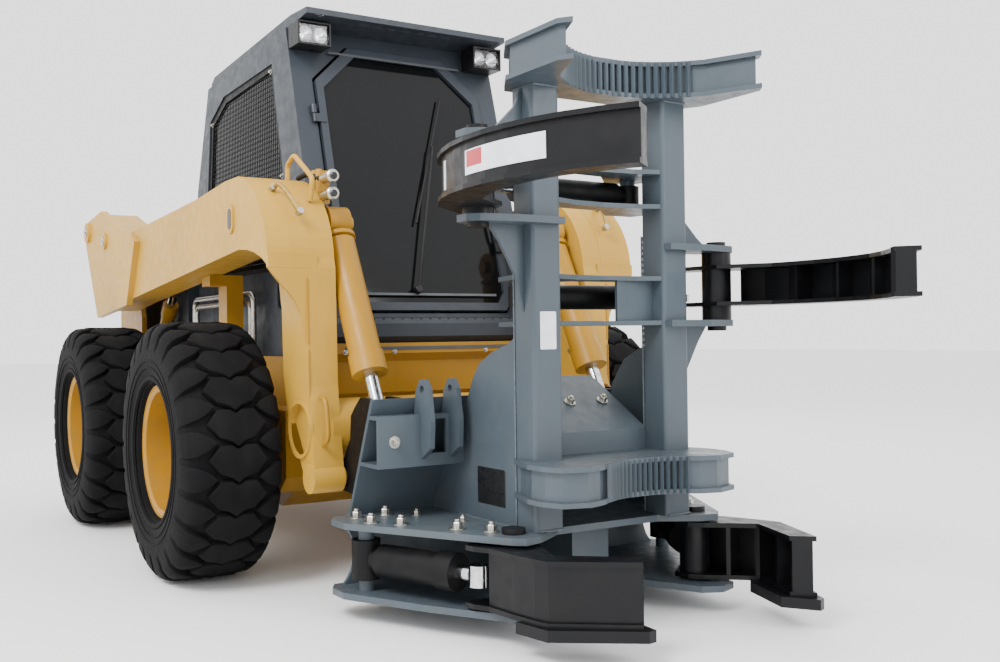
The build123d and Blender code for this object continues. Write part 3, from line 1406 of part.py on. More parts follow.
for name, side in (("right", -1), ("left", 1)):
    rest = SHEAR_REST[name]
    low_z = SHEAR_ARM_BOTTOM_Z
    high_z = SHEAR_ARM_TOP_Z
    centre = (SHEAR_PIVOT[0], side * SHEAR_PIVOT[1])
    with BuildPart() as arm:
        flange = swung(shear_flange, SHEAR_PIVOT, rest, side)
        flat_plate(flange, low_z, low_z + YOKE_PLATE)
        flat_plate(flange, high_z - YOKE_PLATE, high_z)
        flat_plate(swung(shear_web, SHEAR_PIVOT, rest, side), low_z + 1, high_z - 1)
        for rib in shear_ribs:
            flat_plate(swung(rib, SHEAR_PIVOT, rest, side), low_z + 1, high_z - 1)
        upright_bar(centre, FLOOR_DECK_TOP_Z + SEAT_GAP, DECK_TOP_Z - DECK_PLATE - SEAT_GAP, SHEAR_HUB)
        upright_bar(centre, FLOOR_DECK_TOP_Z - DECK_PLATE - 4, DECK_TOP_Z + 16, SHEAR_PIN)
        flat_plate(swung(blade_outline, SHEAR_PIVOT, rest, side), low_z - BLADE_THICKNESS, low_z + 1)
    save(arm, f"shear_arm_{name}")

    cylinder_z = (DECK_TOP_Z - DECK_PLATE + FLOOR_DECK_TOP_Z) / 2
    eye_at = turned(SHEAR_EYE, SHEAR_PIVOT, rest)
    base = (SHEAR_BASE[0], side * SHEAR_BASE[1], cylinder_z)
    eye = (eye_at[0], side * eye_at[1], cylinder_z)
    with BuildPart() as barrel:
        barrel_between(base, eye, 50, SHEAR_REACH, 44, CYLINDER_PIN, UP, 120)
        bore_out(base, eye, SHEAR_REACH, 22, SHEAR_BORE)
    save(barrel, f"shear_barrel_{name}")
    with BuildPart() as rod:
        rod_between(base, eye, 22, SHEAR_REACH, SHEAR_INSIDE[name], 30, 17, UP, 60)
    save(rod, f"shear_rod_{name}")
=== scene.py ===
import bpy
import math
from mathutils import Matrix, Vector


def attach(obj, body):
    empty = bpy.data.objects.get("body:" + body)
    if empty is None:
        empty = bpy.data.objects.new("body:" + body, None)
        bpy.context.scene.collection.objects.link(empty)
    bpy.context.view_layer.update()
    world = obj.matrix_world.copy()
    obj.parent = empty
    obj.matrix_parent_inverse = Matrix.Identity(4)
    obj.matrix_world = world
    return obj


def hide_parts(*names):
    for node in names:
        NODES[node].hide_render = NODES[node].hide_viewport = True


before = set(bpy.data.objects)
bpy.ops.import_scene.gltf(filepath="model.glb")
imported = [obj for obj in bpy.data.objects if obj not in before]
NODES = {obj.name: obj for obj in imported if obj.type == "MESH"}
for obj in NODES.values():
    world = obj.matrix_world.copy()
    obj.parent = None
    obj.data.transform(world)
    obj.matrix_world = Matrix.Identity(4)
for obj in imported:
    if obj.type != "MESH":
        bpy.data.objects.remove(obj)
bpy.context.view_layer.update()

# Loader and shear head in metres, +X forward, +Y to the machine's left, +Z up.
AXLE_Z = 0.4625
AXLES = {"front": 0.7, "rear": -0.7}
SIDES = {"left": 1, "right": -1}
TYRE_Y = 0.855
RIM_FACE_Y = 0.847
TIP = 0.00005  # stands for a radius of nothing, so a turned form closes on its axis


# ---------------------------------------------------------------- materials
def node_tree(name):
    material = bpy.data.materials.new(name)
    material.use_nodes = True
    tree = material.node_tree
    shader = tree.nodes["Principled BSDF"]
    coords = tree.nodes.new("ShaderNodeTexCoord")
    return material, tree, shader, coords.outputs["Object"]


def noise(tree, coords, scale, detail=4.0, stretch=None, rough=0.55):
    if stretch:
        mapping = tree.nodes.new("ShaderNodeMapping")
        mapping.inputs["Scale"].default_value = stretch
        tree.links.new(coords, mapping.inputs["Vector"])
        coords = mapping.outputs["Vector"]
    texture = tree.nodes.new("ShaderNodeTexNoise")
    texture.inputs["Scale"].default_value = scale
    texture.inputs["Detail"].default_value = detail
    texture.inputs["Roughness"].default_value = rough
    tree.links.new(coords, texture.inputs["Vector"])
    return texture.outputs["Fac"]


def remap(tree, value, low, high, to_low=0.0, to_high=1.0):
    node = tree.nodes.new("ShaderNodeMapRange")
    for key, number in zip(("From Min", "From Max", "To Min", "To Max"), (low, high, to_low, to_high)):
        node.inputs[key].default_value = number
    tree.links.new(value, node.inputs["Value"])
    return node.outputs["Result"]


def times(tree, one, two, kind="MULTIPLY"):
    node = tree.nodes.new("ShaderNodeMath")
    node.operation = kind
    tree.links.new(one, node.inputs[0])
    if hasattr(two, "links"):
        tree.links.new(two, node.inputs[1])
    else:
        node.inputs[1].default_value = two
    return node.outputs[0]


def mixed(tree, factor, one, two):
    node = tree.nodes.new("ShaderNodeMix")
    node.data_type = "RGBA"
    tree.links.new(factor, node.inputs["Factor"])
    colour_inputs = [s for s in node.inputs if s.type == "RGBA"]
    for socket, value in zip(colour_inputs, (one, two)):
        if hasattr(value, "links"):
            tree.links.new(value, socket)
        else:
            socket.default_value = (*value, 1.0)
    return [s for s in node.outputs if s.type == "RGBA"][0]


def bump(tree, shader, heights):
    """Chains (height, strength, distance) bumps into the shader's normal."""
    last = None
    for height, strength, distance in heights:
        node = tree.nodes.new("ShaderNodeBump")
        node.inputs["Strength"].default_value = strength
        node.inputs["Distance"].default_value = distance
        tree.links.new(height, node.inputs["Height"])
        if last is not None:
            tree.links.new(last, node.inputs["Normal"])
        last = node.outputs["Normal"]
    tree.links.new(last, shader.inputs["Normal"])


def shade(colour, factor):
    return tuple(min(1.0, c * factor) for c in colour)


DUST = (0.11, 0.088, 0.060)


def paint(name, colour, rough=0.35, coat=0.25, dust=0.35, wear=0.5, chips=(0.10, 0.10, 0.11)):
    """Sprayed enamel on plate: uneven film, orange peel, dust low down, scuffs and small chips."""
    material, tree, shader, coords = node_tree(name)
    broad = remap(tree, noise(tree, coords, 2.3, 5), 0.3, 0.7)
    base = mixed(tree, broad, shade(colour, 0.88), shade(colour, 1.10))
    streaks = remap(tree, noise(tree, coords, 7.0, 6, (6, 6, 0.8)), 0.55, 0.8, 0.0, 0.35)
    base = mixed(tree, streaks, base, shade(colour, 0.72))
    split = tree.nodes.new("ShaderNodeSeparateXYZ")
    tree.links.new(coords, split.inputs[0])
    low = remap(tree, split.outputs["Z"], 1.1, 0.1, 0.0, 1.0)
    grime = times(tree, low, remap(tree, noise(tree, coords, 11, 8), 0.42, 0.72, 0.0, dust))
    base = mixed(tree, grime, base, DUST)
    spots = remap(tree, noise(tree, coords, 70, 3, None, 0.7), 0.74, 0.78, 0.0, wear)
    base = mixed(tree, spots, base, chips)
    tree.links.new(base, shader.inputs["Base Color"])
    gloss = remap(tree, noise(tree, coords, 25, 6), 0.3, 0.7, rough - 0.08, rough + 0.14)
    gloss = times(tree, gloss, times(tree, grime, 0.6), "ADD")
    tree.links.new(gloss, shader.inputs["Roughness"])
    shader.inputs["Coat Weight"].default_value = coat
    shader.inputs["Coat Roughness"].default_value = 0.15
    bump(
        tree,
        shader,
        [
            (noise(tree, coords, 420, 2), 0.10, 0.0004),
            (noise(tree, coords, 14, 5), 0.10, 0.002),
            (spots, 0.25, -0.0004),
        ],
    )
    return material


def steel(name, colour, rough=0.3, metal=1.0, grain=(1, 1, 1), scale=180, strength=0.15):
    material, tree, shader, coords = node_tree(name)
    base = mixed(
        tree, remap(tree, noise(tree, coords, 60, 5), 0.3, 0.7), shade(colour, 0.7), shade(colour, 1.1)
    )
    tree.links.new(base, shader.inputs["Base Color"])
    shader.inputs["Metallic"].default_value = metal
    tree.links.new(
        remap(tree, noise(tree, coords, 90, 4), 0.3, 0.7, rough - 0.08, rough + 0.12),
        shader.inputs["Roughness"],
    )
    bump(tree, shader, [(noise(tree, coords, scale, 3, grain), strength, 0.0003)])
    return material


def rubber(name, colour, rough=0.7, dust=0.35):
    material, tree, shader, coords = node_tree(name)
    patches = remap(tree, noise(tree, coords, 9, 8), 0.40, 0.75, 0.0, dust)
    fine = remap(tree, noise(tree, coords, 130, 6), 0.3, 0.7)
    base = mixed(tree, fine, shade(colour, 0.75), shade(colour, 1.3))
    base = mixed(tree, patches, base, (0.026, 0.023, 0.020))
    tree.links.new(base, shader.inputs["Base Color"])
    tree.links.new(remap(tree, fine, 0, 1, rough - 0.1, rough + 0.15), shader.inputs["Roughness"])
    bump(
        tree, shader, [(noise(tree, coords, 260, 5), 0.25, 0.0008), (noise(tree, coords, 40, 6), 0.25, 0.002)]
    )
    return material


def plastic(name, colour, rough=0.45):
    material, tree, shader, coords = node_tree(name)
    base = mixed(
        tree, remap(tree, noise(tree, coords, 12, 5), 0.3, 0.7), shade(colour, 0.85), shade(colour, 1.2)
    )
    tree.links.new(base, shader.inputs["Base Color"])
    tree.links.new(
        remap(tree, noise(tree, coords, 50, 4), 0.3, 0.7, rough - 0.06, rough + 0.08),
        shader.inputs["Roughness"],
    )
    bump(tree, shader, [(noise(tree, coords, 700, 2), 0.2, 0.0003)])
    return material


def glass(name, colour, rough=0.03, transmission=1.0):
    material, tree, shader, coords = node_tree(name)
    base = mixed(
        tree, remap(tree, noise(tree, coords, 5, 5), 0.3, 0.7), shade(colour, 0.9), shade(colour, 1.1)
    )
    tree.links.new(base, shader.inputs["Base Color"])
    tree.links.new(
        remap(tree, noise(tree, coords, 18, 7), 0.4, 0.75, rough, rough + 0.07), shader.inputs["Roughness"]
    )
    shader.inputs["Transmission Weight"].default_value = transmission
    shader.inputs["IOR"].default_value = 1.45
    bump(tree, shader, [(noise(tree, coords, 3, 2), 0.04, 0.002)])
    return material


def vinyl(name, colour):
    material, tree, shader, coords = node_tree(name)
    cells = tree.nodes.new("ShaderNodeTexVoronoi")
    cells.inputs["Scale"].default_value = 260
    tree.links.new(coords, cells.inputs["Vector"])
    base = mixed(
        tree, remap(tree, noise(tree, coords, 8, 5), 0.3, 0.7), shade(colour, 0.8), shade(colour, 1.25)
    )
    tree.links.new(base, shader.inputs["Base Color"])
    shader.inputs["Roughness"].default_value = 0.55
    bump(tree, shader, [(cells.outputs["Distance"], 0.3, 0.0006)])
    return material


YELLOW = paint("loader_yellow", (0.345, 0.172, 0.010), 0.38, 0.05, 0.30, 0.35, (0.16, 0.09, 0.03))
PALE_YELLOW = paint("beam_yellow", (0.47, 0.265, 0.032), 0.42, 0.05, 0.20, 0.35, (0.20, 0.12, 0.05))
RIM_YELLOW = paint("rim_yellow", (0.34, 0.165, 0.009), 0.40, 0.05, 0.35, 0.5, (0.12, 0.07, 0.03))
CAB = paint("cab_grey", (0.024, 0.030, 0.039), 0.42, 0.05, 0.18, 0.3, (0.02, 0.023, 0.027))
HEAD = paint("head_grey", (0.050, 0.067, 0.082), 0.38, 0.08, 0.15, 0.35, (0.035, 0.04, 0.045))
BLACK = paint("arm_black", (0.0030, 0.0032, 0.0042), 0.36, 0.06, 0.02, 0.5, (0.045, 0.045, 0.05))
SATIN_BLACK = paint("satin_black", (0.0035, 0.0035, 0.0042), 0.5, 0.02, 0.05, 0.4, (0.035, 0.035, 0.038))
DECK_UNDER = paint("deck_edge_grey", (0.056, 0.074, 0.088), 0.38, 0.08, 0.22, 0.6, (0.04, 0.04, 0.04))
ZINC = steel("zinc_plate", (0.52, 0.50, 0.45), 0.32)
WELD = steel("weld_bead", (0.085, 0.105, 0.125), 0.42, 0.3, (1, 1, 1), 500, 0.5)
CHROME = steel("rod_chrome", (0.66, 0.67, 0.69), 0.12, 1.0, (1, 1, 1), 900, 0.03)
BRASS = steel("fitting_brass", (0.50, 0.34, 0.11), 0.35)
IRON = steel("cast_iron", (0.020, 0.021, 0.024), 0.62, 0.5, (1, 1, 1), 160, 0.5)
TYRE = rubber("tyre_rubber", (0.0040, 0.0040, 0.0046), 0.82, 0.16)
HOSE = rubber("hose_rubber", (0.006, 0.006, 0.0065), 0.55, 0.12)
PLASTIC = plastic("black_plastic", (0.006, 0.006, 0.007), 0.38)
MATTE_PLASTIC = plastic("matte_plastic", (0.008, 0.008, 0.009), 0.6)
WHITE_LABEL = plastic("blank_white_label", (0.72, 0.74, 0.77), 0.4)
RED_LABEL = plastic("blank_red_block", (0.42, 0.035, 0.045), 0.4)
GREY_LABEL = plastic("blank_grey_stripe", (0.05, 0.055, 0.06), 0.4)
BLACK_LABEL = plastic("blank_black_label", (0.004, 0.004, 0.005), 0.3)
LENS = glass("lamp_lens", (0.95, 0.95, 0.95), 0.08)
RED_LENS = glass("tail_lens", (0.6, 0.02, 0.015), 0.1, 0.4)
REFLECTOR = steel("lamp_reflector", (0.85, 0.86, 0.88), 0.12)
# Tinted glass, made darker and less clear than the tint alone: its near-black colour and low transmission
# also paint the shade inside the cab.
TINT_AND_SHADE_GLASS = glass("tinted_glass_and_painted_shade", (0.004, 0.0044, 0.005), 0.04, 0.12)
MESH = paint("screen_black", (0.005, 0.005, 0.006), 0.5, 0.05, 0.02, 0.3, (0.03, 0.03, 0.03))
VINYL = vinyl("seat_vinyl", (0.010, 0.010, 0.012))
LOW_GLOSS = {
    TYRE: 0.12, HOSE: 0.25, SATIN_BLACK: 0.16, BLACK: 0.20, MATTE_PLASTIC: 0.2, MESH: 0.15, TINT_AND_SHADE_GLASS: 0.22
}
LOW_GLOSS.update(
    {PLASTIC: 0.25, YELLOW: 0.25, PALE_YELLOW: 0.25, RIM_YELLOW: 0.25, CAB: 0.3, HEAD: 0.35, DECK_UNDER: 0.35}
)
for material, level in LOW_GLOSS.items():
    material.node_tree.nodes["Principled BSDF"].inputs["Specular IOR Level"].default_value = level


def frame_of(axis):
    """Two directions square to an axis."""
    axis = Vector(axis).normalized()
    guide = Vector((0, 0, 1)) if abs(axis.z) < 0.9 else Vector((1, 0, 0))
    one = axis.cross(guide).normalized()
    return one, axis.cross(one).normalized(), axis


def ring_faces(rings, seg):
    """Quads between rings of seg points each, with a cap at either end."""
    final = (rings - 1) * seg
    faces = [list(range(seg - 1, -1, -1)), [final + k for k in range(seg)]]
    for i in range(rings - 1):
        for k in range(seg):
            n = (k + 1) % seg
            faces.append([i * seg + k, i * seg + n, (i + 1) * seg + n, (i + 1) * seg + k])
    return faces


class Piece:
    """Collects faces for one visible piece, then makes it and lets it ride on its body."""

    def __init__(self, name, body, *materials):
        self.name = name
        self.body = body
        self.materials = materials
        self.verts = []
        self.faces = []
        self.index = []
        self.smooth = []

    def put(self, verts, faces, mat=0, smooth=False):
        start = len(self.verts)
        self.verts += [tuple(v) for v in verts]
        for face in faces:
            self.faces.append([start + i for i in face])
            self.index.append(mat)
            self.smooth.append(smooth)

    def prism(self, outline, along, mat=0):
        """A closed prism from a flat outline of 3-D points."""
        along = Vector(along)
        low = [Vector(p) for p in outline]
        high = [p + along for p in low]
        count = len(low)
        normal = sum(((low[i] - low[0]).cross(low[(i + 1) % count] - low[0]) for i in range(count)), Vector())
        faces = [list(range(count)), list(range(2 * count - 1, count - 1, -1))]
        faces += [[(i + 1) % count, i, count + i, count + (i + 1) % count] for i in range(count)]
        if normal.dot(along) > 0:
            faces = [face[::-1] for face in faces]
        self.put(low + high, faces, mat)

    def box(self, low, high, mat=0):
        x0, y0, z0 = low
        x1, y1, z1 = high
        self.prism([(x0, y0, z0), (x1, y0, z0), (x1, y1, z0), (x0, y1, z0)], (0, 0, z1 - z0), mat)

    def slab(self, centre, right, up, width, height, thick, mat=0, corner=0.0):
        """A thin plate lying on a surface, with rounded corners if asked."""
        centre, right, up = Vector(centre), Vector(right).normalized(), Vector(up).normalized()
        points = []
        for sx, sy in ((1, 1), (-1, 1), (-1, -1), (1, -1)):
            middle = centre + right * (sx * (width / 2 - corner)) + up * (sy * (height / 2 - corner))
            if corner:
                begin = {(1, 1): 0, (-1, 1): 90, (-1, -1): 180, (1, -1): 270}[(sx, sy)]
                for step in range(5):
                    angle = math.radians(begin + 22.5 * step)
                    points.append(
                        middle + right * (corner * math.cos(angle)) + up * (corner * math.sin(angle))
                    )
            else:
                points.append(middle)
        self.prism(points, right.cross(up) * thick, mat)

    def turned_form(self, origin, axis, profile, seg=32, mat=0, closed=True, smooth=True):
        """Turns a profile of (along, radius) about an axis. Closed at its ends where the radius is 0."""
        one, two, axis = frame_of(axis)
        origin = Vector(origin)
        verts = []
        for along, radius in profile:
            for k in range(seg):
                angle = 2 * math.pi * k / seg
                verts.append(origin + axis * along + (one * math.cos(angle) + two * math.sin(angle)) * radius)
        faces = []
        rows = len(profile)
        spans = range(rows) if closed else range(rows - 1)
        for i in spans:
            j = (i + 1) % rows
            for k in range(seg):
                n = (k + 1) % seg
                faces.append([i * seg + k, j * seg + k, j * seg + n, i * seg + n])
        area = sum(a[0] * b[1] - b[0] * a[1] for a, b in zip(profile, profile[1:] + profile[:1]))
        if area < 0:
            faces = [face[::-1] for face in faces]
        self.put(verts, faces, mat, smooth)

    def cyl(self, start, end, radius, seg=24, mat=0, chamfer=0.0):
        start, end = Vector(start), Vector(end)
        length = (end - start).length
        c = chamfer
        profile = [
            (0, TIP), (0, radius - c), (c, radius), (length - c, radius), (length, radius - c), (length, TIP)
        ]
        if not c:
            profile = [(0, TIP), (0, radius), (length, radius), (length, TIP)]
        self.turned_form(start, end - start, profile, seg, mat, True, False)

    def nut(self, at, normal, size=0.03, mat=0, stud=True):
        """A washer, a hexagon nut with chamfered corners, and the stud's end."""
        one, two, normal = frame_of(normal)
        at = Vector(at)
        self.cyl(at, at + normal * size * 0.12, size * 0.95, 20, mat)
        half = size * 0.55
        base = at + normal * size * 0.12
        rings = ((0, half * 1.12), (size * 0.62, half * 1.12), (size * 0.72, half * 0.98))
        verts = []
        for along, radius in rings:
            for k in range(6):
                angle = math.pi * k / 3 + 0.3
                verts.append(base + normal * along + (one * math.cos(angle) + two * math.sin(angle)) * radius)
        faces = [list(range(5, -1, -1)), list(range(12, 18))]
        for i in range(2):
            for k in range(6):
                n = (k + 1) % 6
                faces.append([i * 6 + k, i * 6 + n, i * 6 + 6 + n, i * 6 + 6 + k])
        self.put(verts, faces, mat)
        if stud:
            top = base + normal * size * 0.72
            self.cyl(top, top + normal * size * 0.3, size * 0.34, 14, mat, size * 0.05)

    def tube(self, points, radius, seg=10, mat=0, steps=6):
        """A round bar or hose along a smooth line through the points."""
        points = [Vector(p) for p in points]
        line = [points[0]]
        for i in range(len(points) - 1):
            a = points[max(0, i - 1)]
            b, c = points[i], points[i + 1]
            d = points[min(len(points) - 1, i + 2)]
            for s in range(1, steps + 1):
                t = s / steps
                line.append(
                    0.5 * (
                        (2 * b) + (c - a) * t + (
                            2 * a - 5 * b + 4 * c - d
                        ) * t * t + (3 * b - a - 3 * c + d) * t ** 3
                    )
                )
        self.run(line, radius, seg, mat)

    def run(self, line, radius, seg=10, mat=0):
        line = [Vector(p) for p in line]
        verts = []
        side = frame_of(line[1] - line[0])[0]
        for i, p in enumerate(line):
            direction = (line[min(i + 1, len(line) - 1)] - line[max(i - 1, 0)]).normalized()
            side = (side - direction * side.dot(direction)).normalized()
            other = direction.cross(side)
            for k in range(seg):
                angle = 2 * math.pi * k / seg
                verts.append(p + (side * math.cos(angle) + other * math.sin(angle)) * radius)
        self.put(verts, ring_faces(len(line), seg), mat, True)

    def weld(self, start, end, radius=0.005, mat=0):
        """A rippled weld bead along a joint."""
        start, end = Vector(start), Vector(end)
        length = (end - start).length
        steps = max(3, int(length / 0.009))
        one, two, axis = frame_of(end - start)
        verts = []
        seg = 6
        for i in range(steps + 1):
            r = radius * (0.78 + 0.22 * (i % 2))
            for k in range(seg):
                angle = 2 * math.pi * k / seg
                verts.append(
                    start + axis * (length * i / steps) + (one * math.cos(angle) + two * math.sin(angle)) * r
                )
        self.put(verts, ring_faces(steps + 1, seg), mat, True)

    def done(self, bevel=0.0, angle=35):
        mesh = bpy.data.meshes.new(self.name)
        mesh.from_pydata(self.verts, [], self.faces)
        for material in self.materials:
            mesh.materials.append(material)
        for polygon, index, smooth in zip(mesh.polygons, self.index, self.smooth):
            polygon.material_index = index
            polygon.use_smooth = smooth
        mesh.validate()
        obj = bpy.data.objects.new(self.name, mesh)
        bpy.context.scene.collection.objects.link(obj)
        if bevel:
            soften(obj, bevel, 2)
        if any(self.smooth):
            mesh.set_sharp_from_angle(angle=math.radians(angle))
        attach(obj, self.body)
        return obj


def soften(obj, width, segments=2, angle=30):
    modifier = obj.modifiers.new("edges", "BEVEL")
    modifier.width = width
    modifier.segments = segments
    modifier.limit_method = "ANGLE"
    modifier.angle_limit = math.radians(angle)
    modifier.use_clamp_overlap = True
    modifier.harden_normals = False


def dress(node, *materials):
    obj = NODES[node]
    obj.data.materials.clear()
    for material in materials:
        obj.data.materials.append(material)
    return obj


# ---------------------------------------------------------------- wheels
PITCHES = 24
# Stations are (metres across the tread, first edge, last edge), the edges in pitches round the tyre.
CENTRE_LUG = [
    (-0.098, 0.0, 0.04),
    (-0.080, -0.17, 0.23),
    (-0.062, -0.34, 0.42),
    (-0.022, -0.46, 0.42),
    (0.0, -0.60, 0.30),
]
CENTRE_LUG += [(-across, low, high) for across, low, high in reversed(CENTRE_LUG[:-1])]
SHOULDER_BLOCK = [(0.072, 0.50, 0.52), (0.088, 0.38, 0.64), (0.108, 0.27, 0.74), (0.130, 0.19, 0.82)]
SHOULDER_BLOCK += [(0.148, 0.15, 0.86), (0.162, 0.13, 0.88), (0.1725, 0.13, 0.88)]
CARCASS = [(0.0, 0.436), (0.060, 0.437), (0.110, 0.434), (0.140, 0.424), (0.158, 0.404), (0.170, 0.372)]
WALL = [(0.1735, 0.350), (0.1715, 0.310), (0.166, 0.278), (0.150, 0.247), (0.1215, 0.241), (0.1215, 0.2255)]


def crown(across):
    """Outer radius of the tread at a distance from the tyre's middle."""
    across = abs(across)
    points = [
        (0.0, 0.4620),
        (0.080, 0.4615),
        (0.130, 0.4550),
        (0.150, 0.4430),
        (0.165, 0.4190),
        (0.1735, 0.3720),
        (0.174, 0.340),
    ]
    for (a, ra), (b, rb) in zip(points, points[1:]):
        if across <= b:
            return ra + (rb - ra) * (across - a) / (b - a)
    return points[-1][1]


def floor_radius(across):
    across = abs(across)
    points = CARCASS + [(0.1745, 0.335)]
    for (a, ra), (b, rb) in zip(points, points[1:]):
        if across <= b:
            return ra + (rb - ra) * (across - a) / (b - a)
    return points[-1][1]


def tyre(place, axle_x, side):
    piece = Piece(f"tread_tyre_{place}", f"wheel_{place}", TYRE)
    centre = Vector((axle_x, side * TYRE_Y, AXLE_Z))
    outer = CARCASS + WALL
    profile = [(-y, r) for y, r in reversed(outer)] + outer[1:]
    piece.turned_form(centre, (0, side, 0), profile, 96, 0, True, True)
    # raised rings and a rim protector on each wall
    for face in (1, -1):
        for radius, width, high in ((0.262, 0.010, 0.1660), (0.300, 0.004, 0.1722), (0.325, 0.004, 0.1738)):
            ring = [(face * (high - 0.008), radius - width), (face * (high + 0.0012), radius - width * 0.6)]
            ring += [(face * (high + 0.0012), radius + width * 0.6), (face * (high - 0.008), radius + width)]
            piece.turned_form(centre, (0, side, 0), ring, 72, 0, True, True)

    def spot(turn, across, radius):
        angle = 2 * math.pi * turn
        return centre + Vector((math.cos(angle) * radius, side * across, math.sin(angle) * radius))

    def block(stations, begin, half):
        """One tread block: each station is (across, first edge, last edge), edges in pitches."""
        verts = []
        for across, low, high in stations:
            first, last = (begin + low) / PITCHES, (begin + high) / PITCHES
            edge = min(0.06 / PITCHES, (last - first) * 0.3)
            top = crown(across)
            bottom = floor_radius(across) - 0.006
            rows = ((first - edge, bottom), (first, top - 0.003), (first + edge, top))
            rows += ((last - edge, top), (last, top - 0.003), (last + edge, bottom))
            for turn, radius in rows:
                verts.append(spot(turn, half * across, radius))
        faces = ring_faces(len(stations), len(rows))
        if half * side > 0:
            faces = [face[::-1] for face in faces]
        piece.put(verts, faces, 0, False)

    for number in range(PITCHES):
        block(CENTRE_LUG, number, 1)
        for half in (1, -1):
            block(SHOULDER_BLOCK, number, half)
    obj = piece.done()
    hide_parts(f"tyre_{place}")


def rim_parts(place, axle_x, side):
    piece = Piece(f"rim_details_{place}", f"wheel_{place}", RIM_YELLOW, ZINC, SATIN_BLACK)
    face = side * RIM_FACE_Y
    out = Vector((0, side, 0))
    centre = Vector((axle_x, face, AXLE_Z))
    hub = [
        (-0.001, TIP),
        (-0.001, 0.078),
        (0.008, 0.078),
        (0.012, 0.073),
        (0.012, 0.052),
        (0.030, 0.048),
        (0.034, 0.042),
        (0.034, TIP),
    ]
    piece.turned_form(centre, out, hub, 40, 0, True, False)
    for k in range(8):
        angle = math.pi * k / 4 + 0.2
        around = Vector((math.cos(angle), 0, math.sin(angle)))
        piece.nut(centre + around * 0.104, out, 0.027, 1)
    for k in range(8):
        angle = math.pi * k / 4 + 0.59
        around = Vector((math.cos(angle), 0, math.sin(angle)))
        piece.cyl(centre + around * 0.062 + out * 0.011, centre + around * 0.062 + out * 0.018, 0.007, 6, 1)
    ring = [(-0.004, 0.118), (0.004, 0.120), (0.004, 0.128), (-0.004, 0.130)]
    piece.turned_form(centre, out, ring, 48, 0, True, True)
    stem = centre + Vector((0.0, 0, 0.196))
    piece.tube(
        [
            stem - Vector((0, 0, 0.012)) + out * 0.02,
            stem + out * 0.045,
            stem + Vector((0, 0, -0.012)) + out * 0.066,
        ],
        0.0045,
        8,
        1,
    )
    piece.done(0.0015)


for axle_name, axle_x in AXLES.items():
    for side_name, side in SIDES.items():
        tyre(f"{axle_name}_{side_name}", axle_x, side)
        rim_parts(f"{axle_name}_{side_name}", axle_x, side)
        soften(dress(f"rim_{axle_name}_{side_name}", RIM_YELLOW), 0.002, 2)

# ---------------------------------------------------------------- carried-over plate work
for node, material, edge in (
    ("chassis_tub", YELLOW, 0.004),
    ("axle_housings", IRON, 0.004),
    ("rear_towers", YELLOW, 0.003),
    ("engine_block", IRON, 0.006),
    ("engine_hood", CAB, 0.006),
    ("rear_bumper", SATIN_BLACK, 0.005),
    ("rear_door", YELLOW, 0.008),
    ("cab_frame", CAB, 0.006),
    ("cab_roof", CAB, 0.004),
    ("cab_door", CAB, 0.004),
    ("front_panel", YELLOW, 0.004),
    ("step_bar", CAB, 0.004),
    ("boom_arms", PALE_YELLOW, 0.006),
    ("boom_rests", YELLOW, 0.003),
    ("hose_guard", PALE_YELLOW, 0.0015),
    ("hydraulic_pipes", ZINC, 0.0),
    ("lift_barrels", YELLOW, 0.003),
    ("lift_rods", CHROME, 0.002),
    ("tilt_barrels", YELLOW, 0.003),
    ("tilt_rods", CHROME, 0.002),
    ("quick_coupler", SATIN_BLACK, 0.003),
    ("mount_plate", HEAD, 0.002),
    ("upper_deck", DECK_UNDER, 0.003),
    ("lower_deck", HEAD, 0.003),
    ("side_gussets", HEAD, 0.002),
    ("mast_posts", HEAD, 0.003),
    ("upper_yoke", HEAD, 0.002),
    ("lower_yoke", HEAD, 0.002),
    ("mast_cross_plates", HEAD, 0.002),
    ("guard_plate", HEAD, 0.002),
    ("grapple_brackets", HEAD, 0.003),
    ("grapple_arm_right", BLACK, 0.002),
    ("grapple_arm_left", BLACK, 0.002),
    ("shear_arm_right", BLACK, 0.002),
    ("shear_arm_left", BLACK, 0.002),
    ("controls", MATTE_PLASTIC, 0.006),
    # the rear window and door glass take the tinted glass that also paints the cab's inner shade
    ("rear_window", TINT_AND_SHADE_GLASS, 0.0),
    ("door_glass", TINT_AND_SHADE_GLASS, 0.001),
):
    obj = dress(node, material)
    if edge:
        soften(obj, edge, 2)
for kind in ("grapple", "shear"):
    for side_name in SIDES:
        soften(dress(f"{kind}_barrel_{side_name}", SATIN_BLACK), 0.002, 2)
        soften(dress(f"{kind}_rod_{side_name}", CHROME), 0.0015, 2)

# ---------------------------------------------------------------- cab
FRONT_NORMAL = Vector((0.963, 0, 0.2696))
FRONT_UP = (-0.2696, 0, 0.963)
FRONT_FOOT_X, FRONT_FOOT_Z, FRONT_RAKE = 0.95, 0.955, 0.28


def on_front(y, z, out=0.0):
    """A point on the cab's raked front, moved out along its normal."""
    return Vector((FRONT_FOOT_X - FRONT_RAKE * (z - FRONT_FOOT_Z), y, z)) + FRONT_NORMAL * out


WINDOW = [
    (-0.398, 1.130),
    (-0.352, 1.500),
    (-0.300, 1.864),
    (-0.108, 1.947),
    (0.480, 1.962),
    (0.590, 1.495),
    (0.676, 1.130),
]


def inset(outline, amount):
    """Moves each corner towards the middle of the outline."""
    cx = sum(p[0] for p in outline) / len(outline)
    cz = sum(p[1] for p in outline) / len(outline)
    result = []
    for x, z in outline:
        away = math.hypot(x - cx, z - cz)
        result.append((x + (cx - x) * amount / away, z + (cz - z) * amount / away))
    return result


def crossing(outline, level, axis):
    """Where a line at one level meets the outline: the lowest and highest value on the other axis."""
    found = []
    for p, q in zip(outline, outline[1:] + outline[:1]):
        if (p[axis] - level) * (q[axis] - level) < 0:
            share = (level - p[axis]) / (q[axis] - p[axis])
            found.append(p[1 - axis] + (q[1 - axis] - p[1 - axis]) * share)
    return (min(found), max(found)) if len(found) == 2 else None


MESH_PITCH = 0.0205
MESH_WIRE = 0.0013


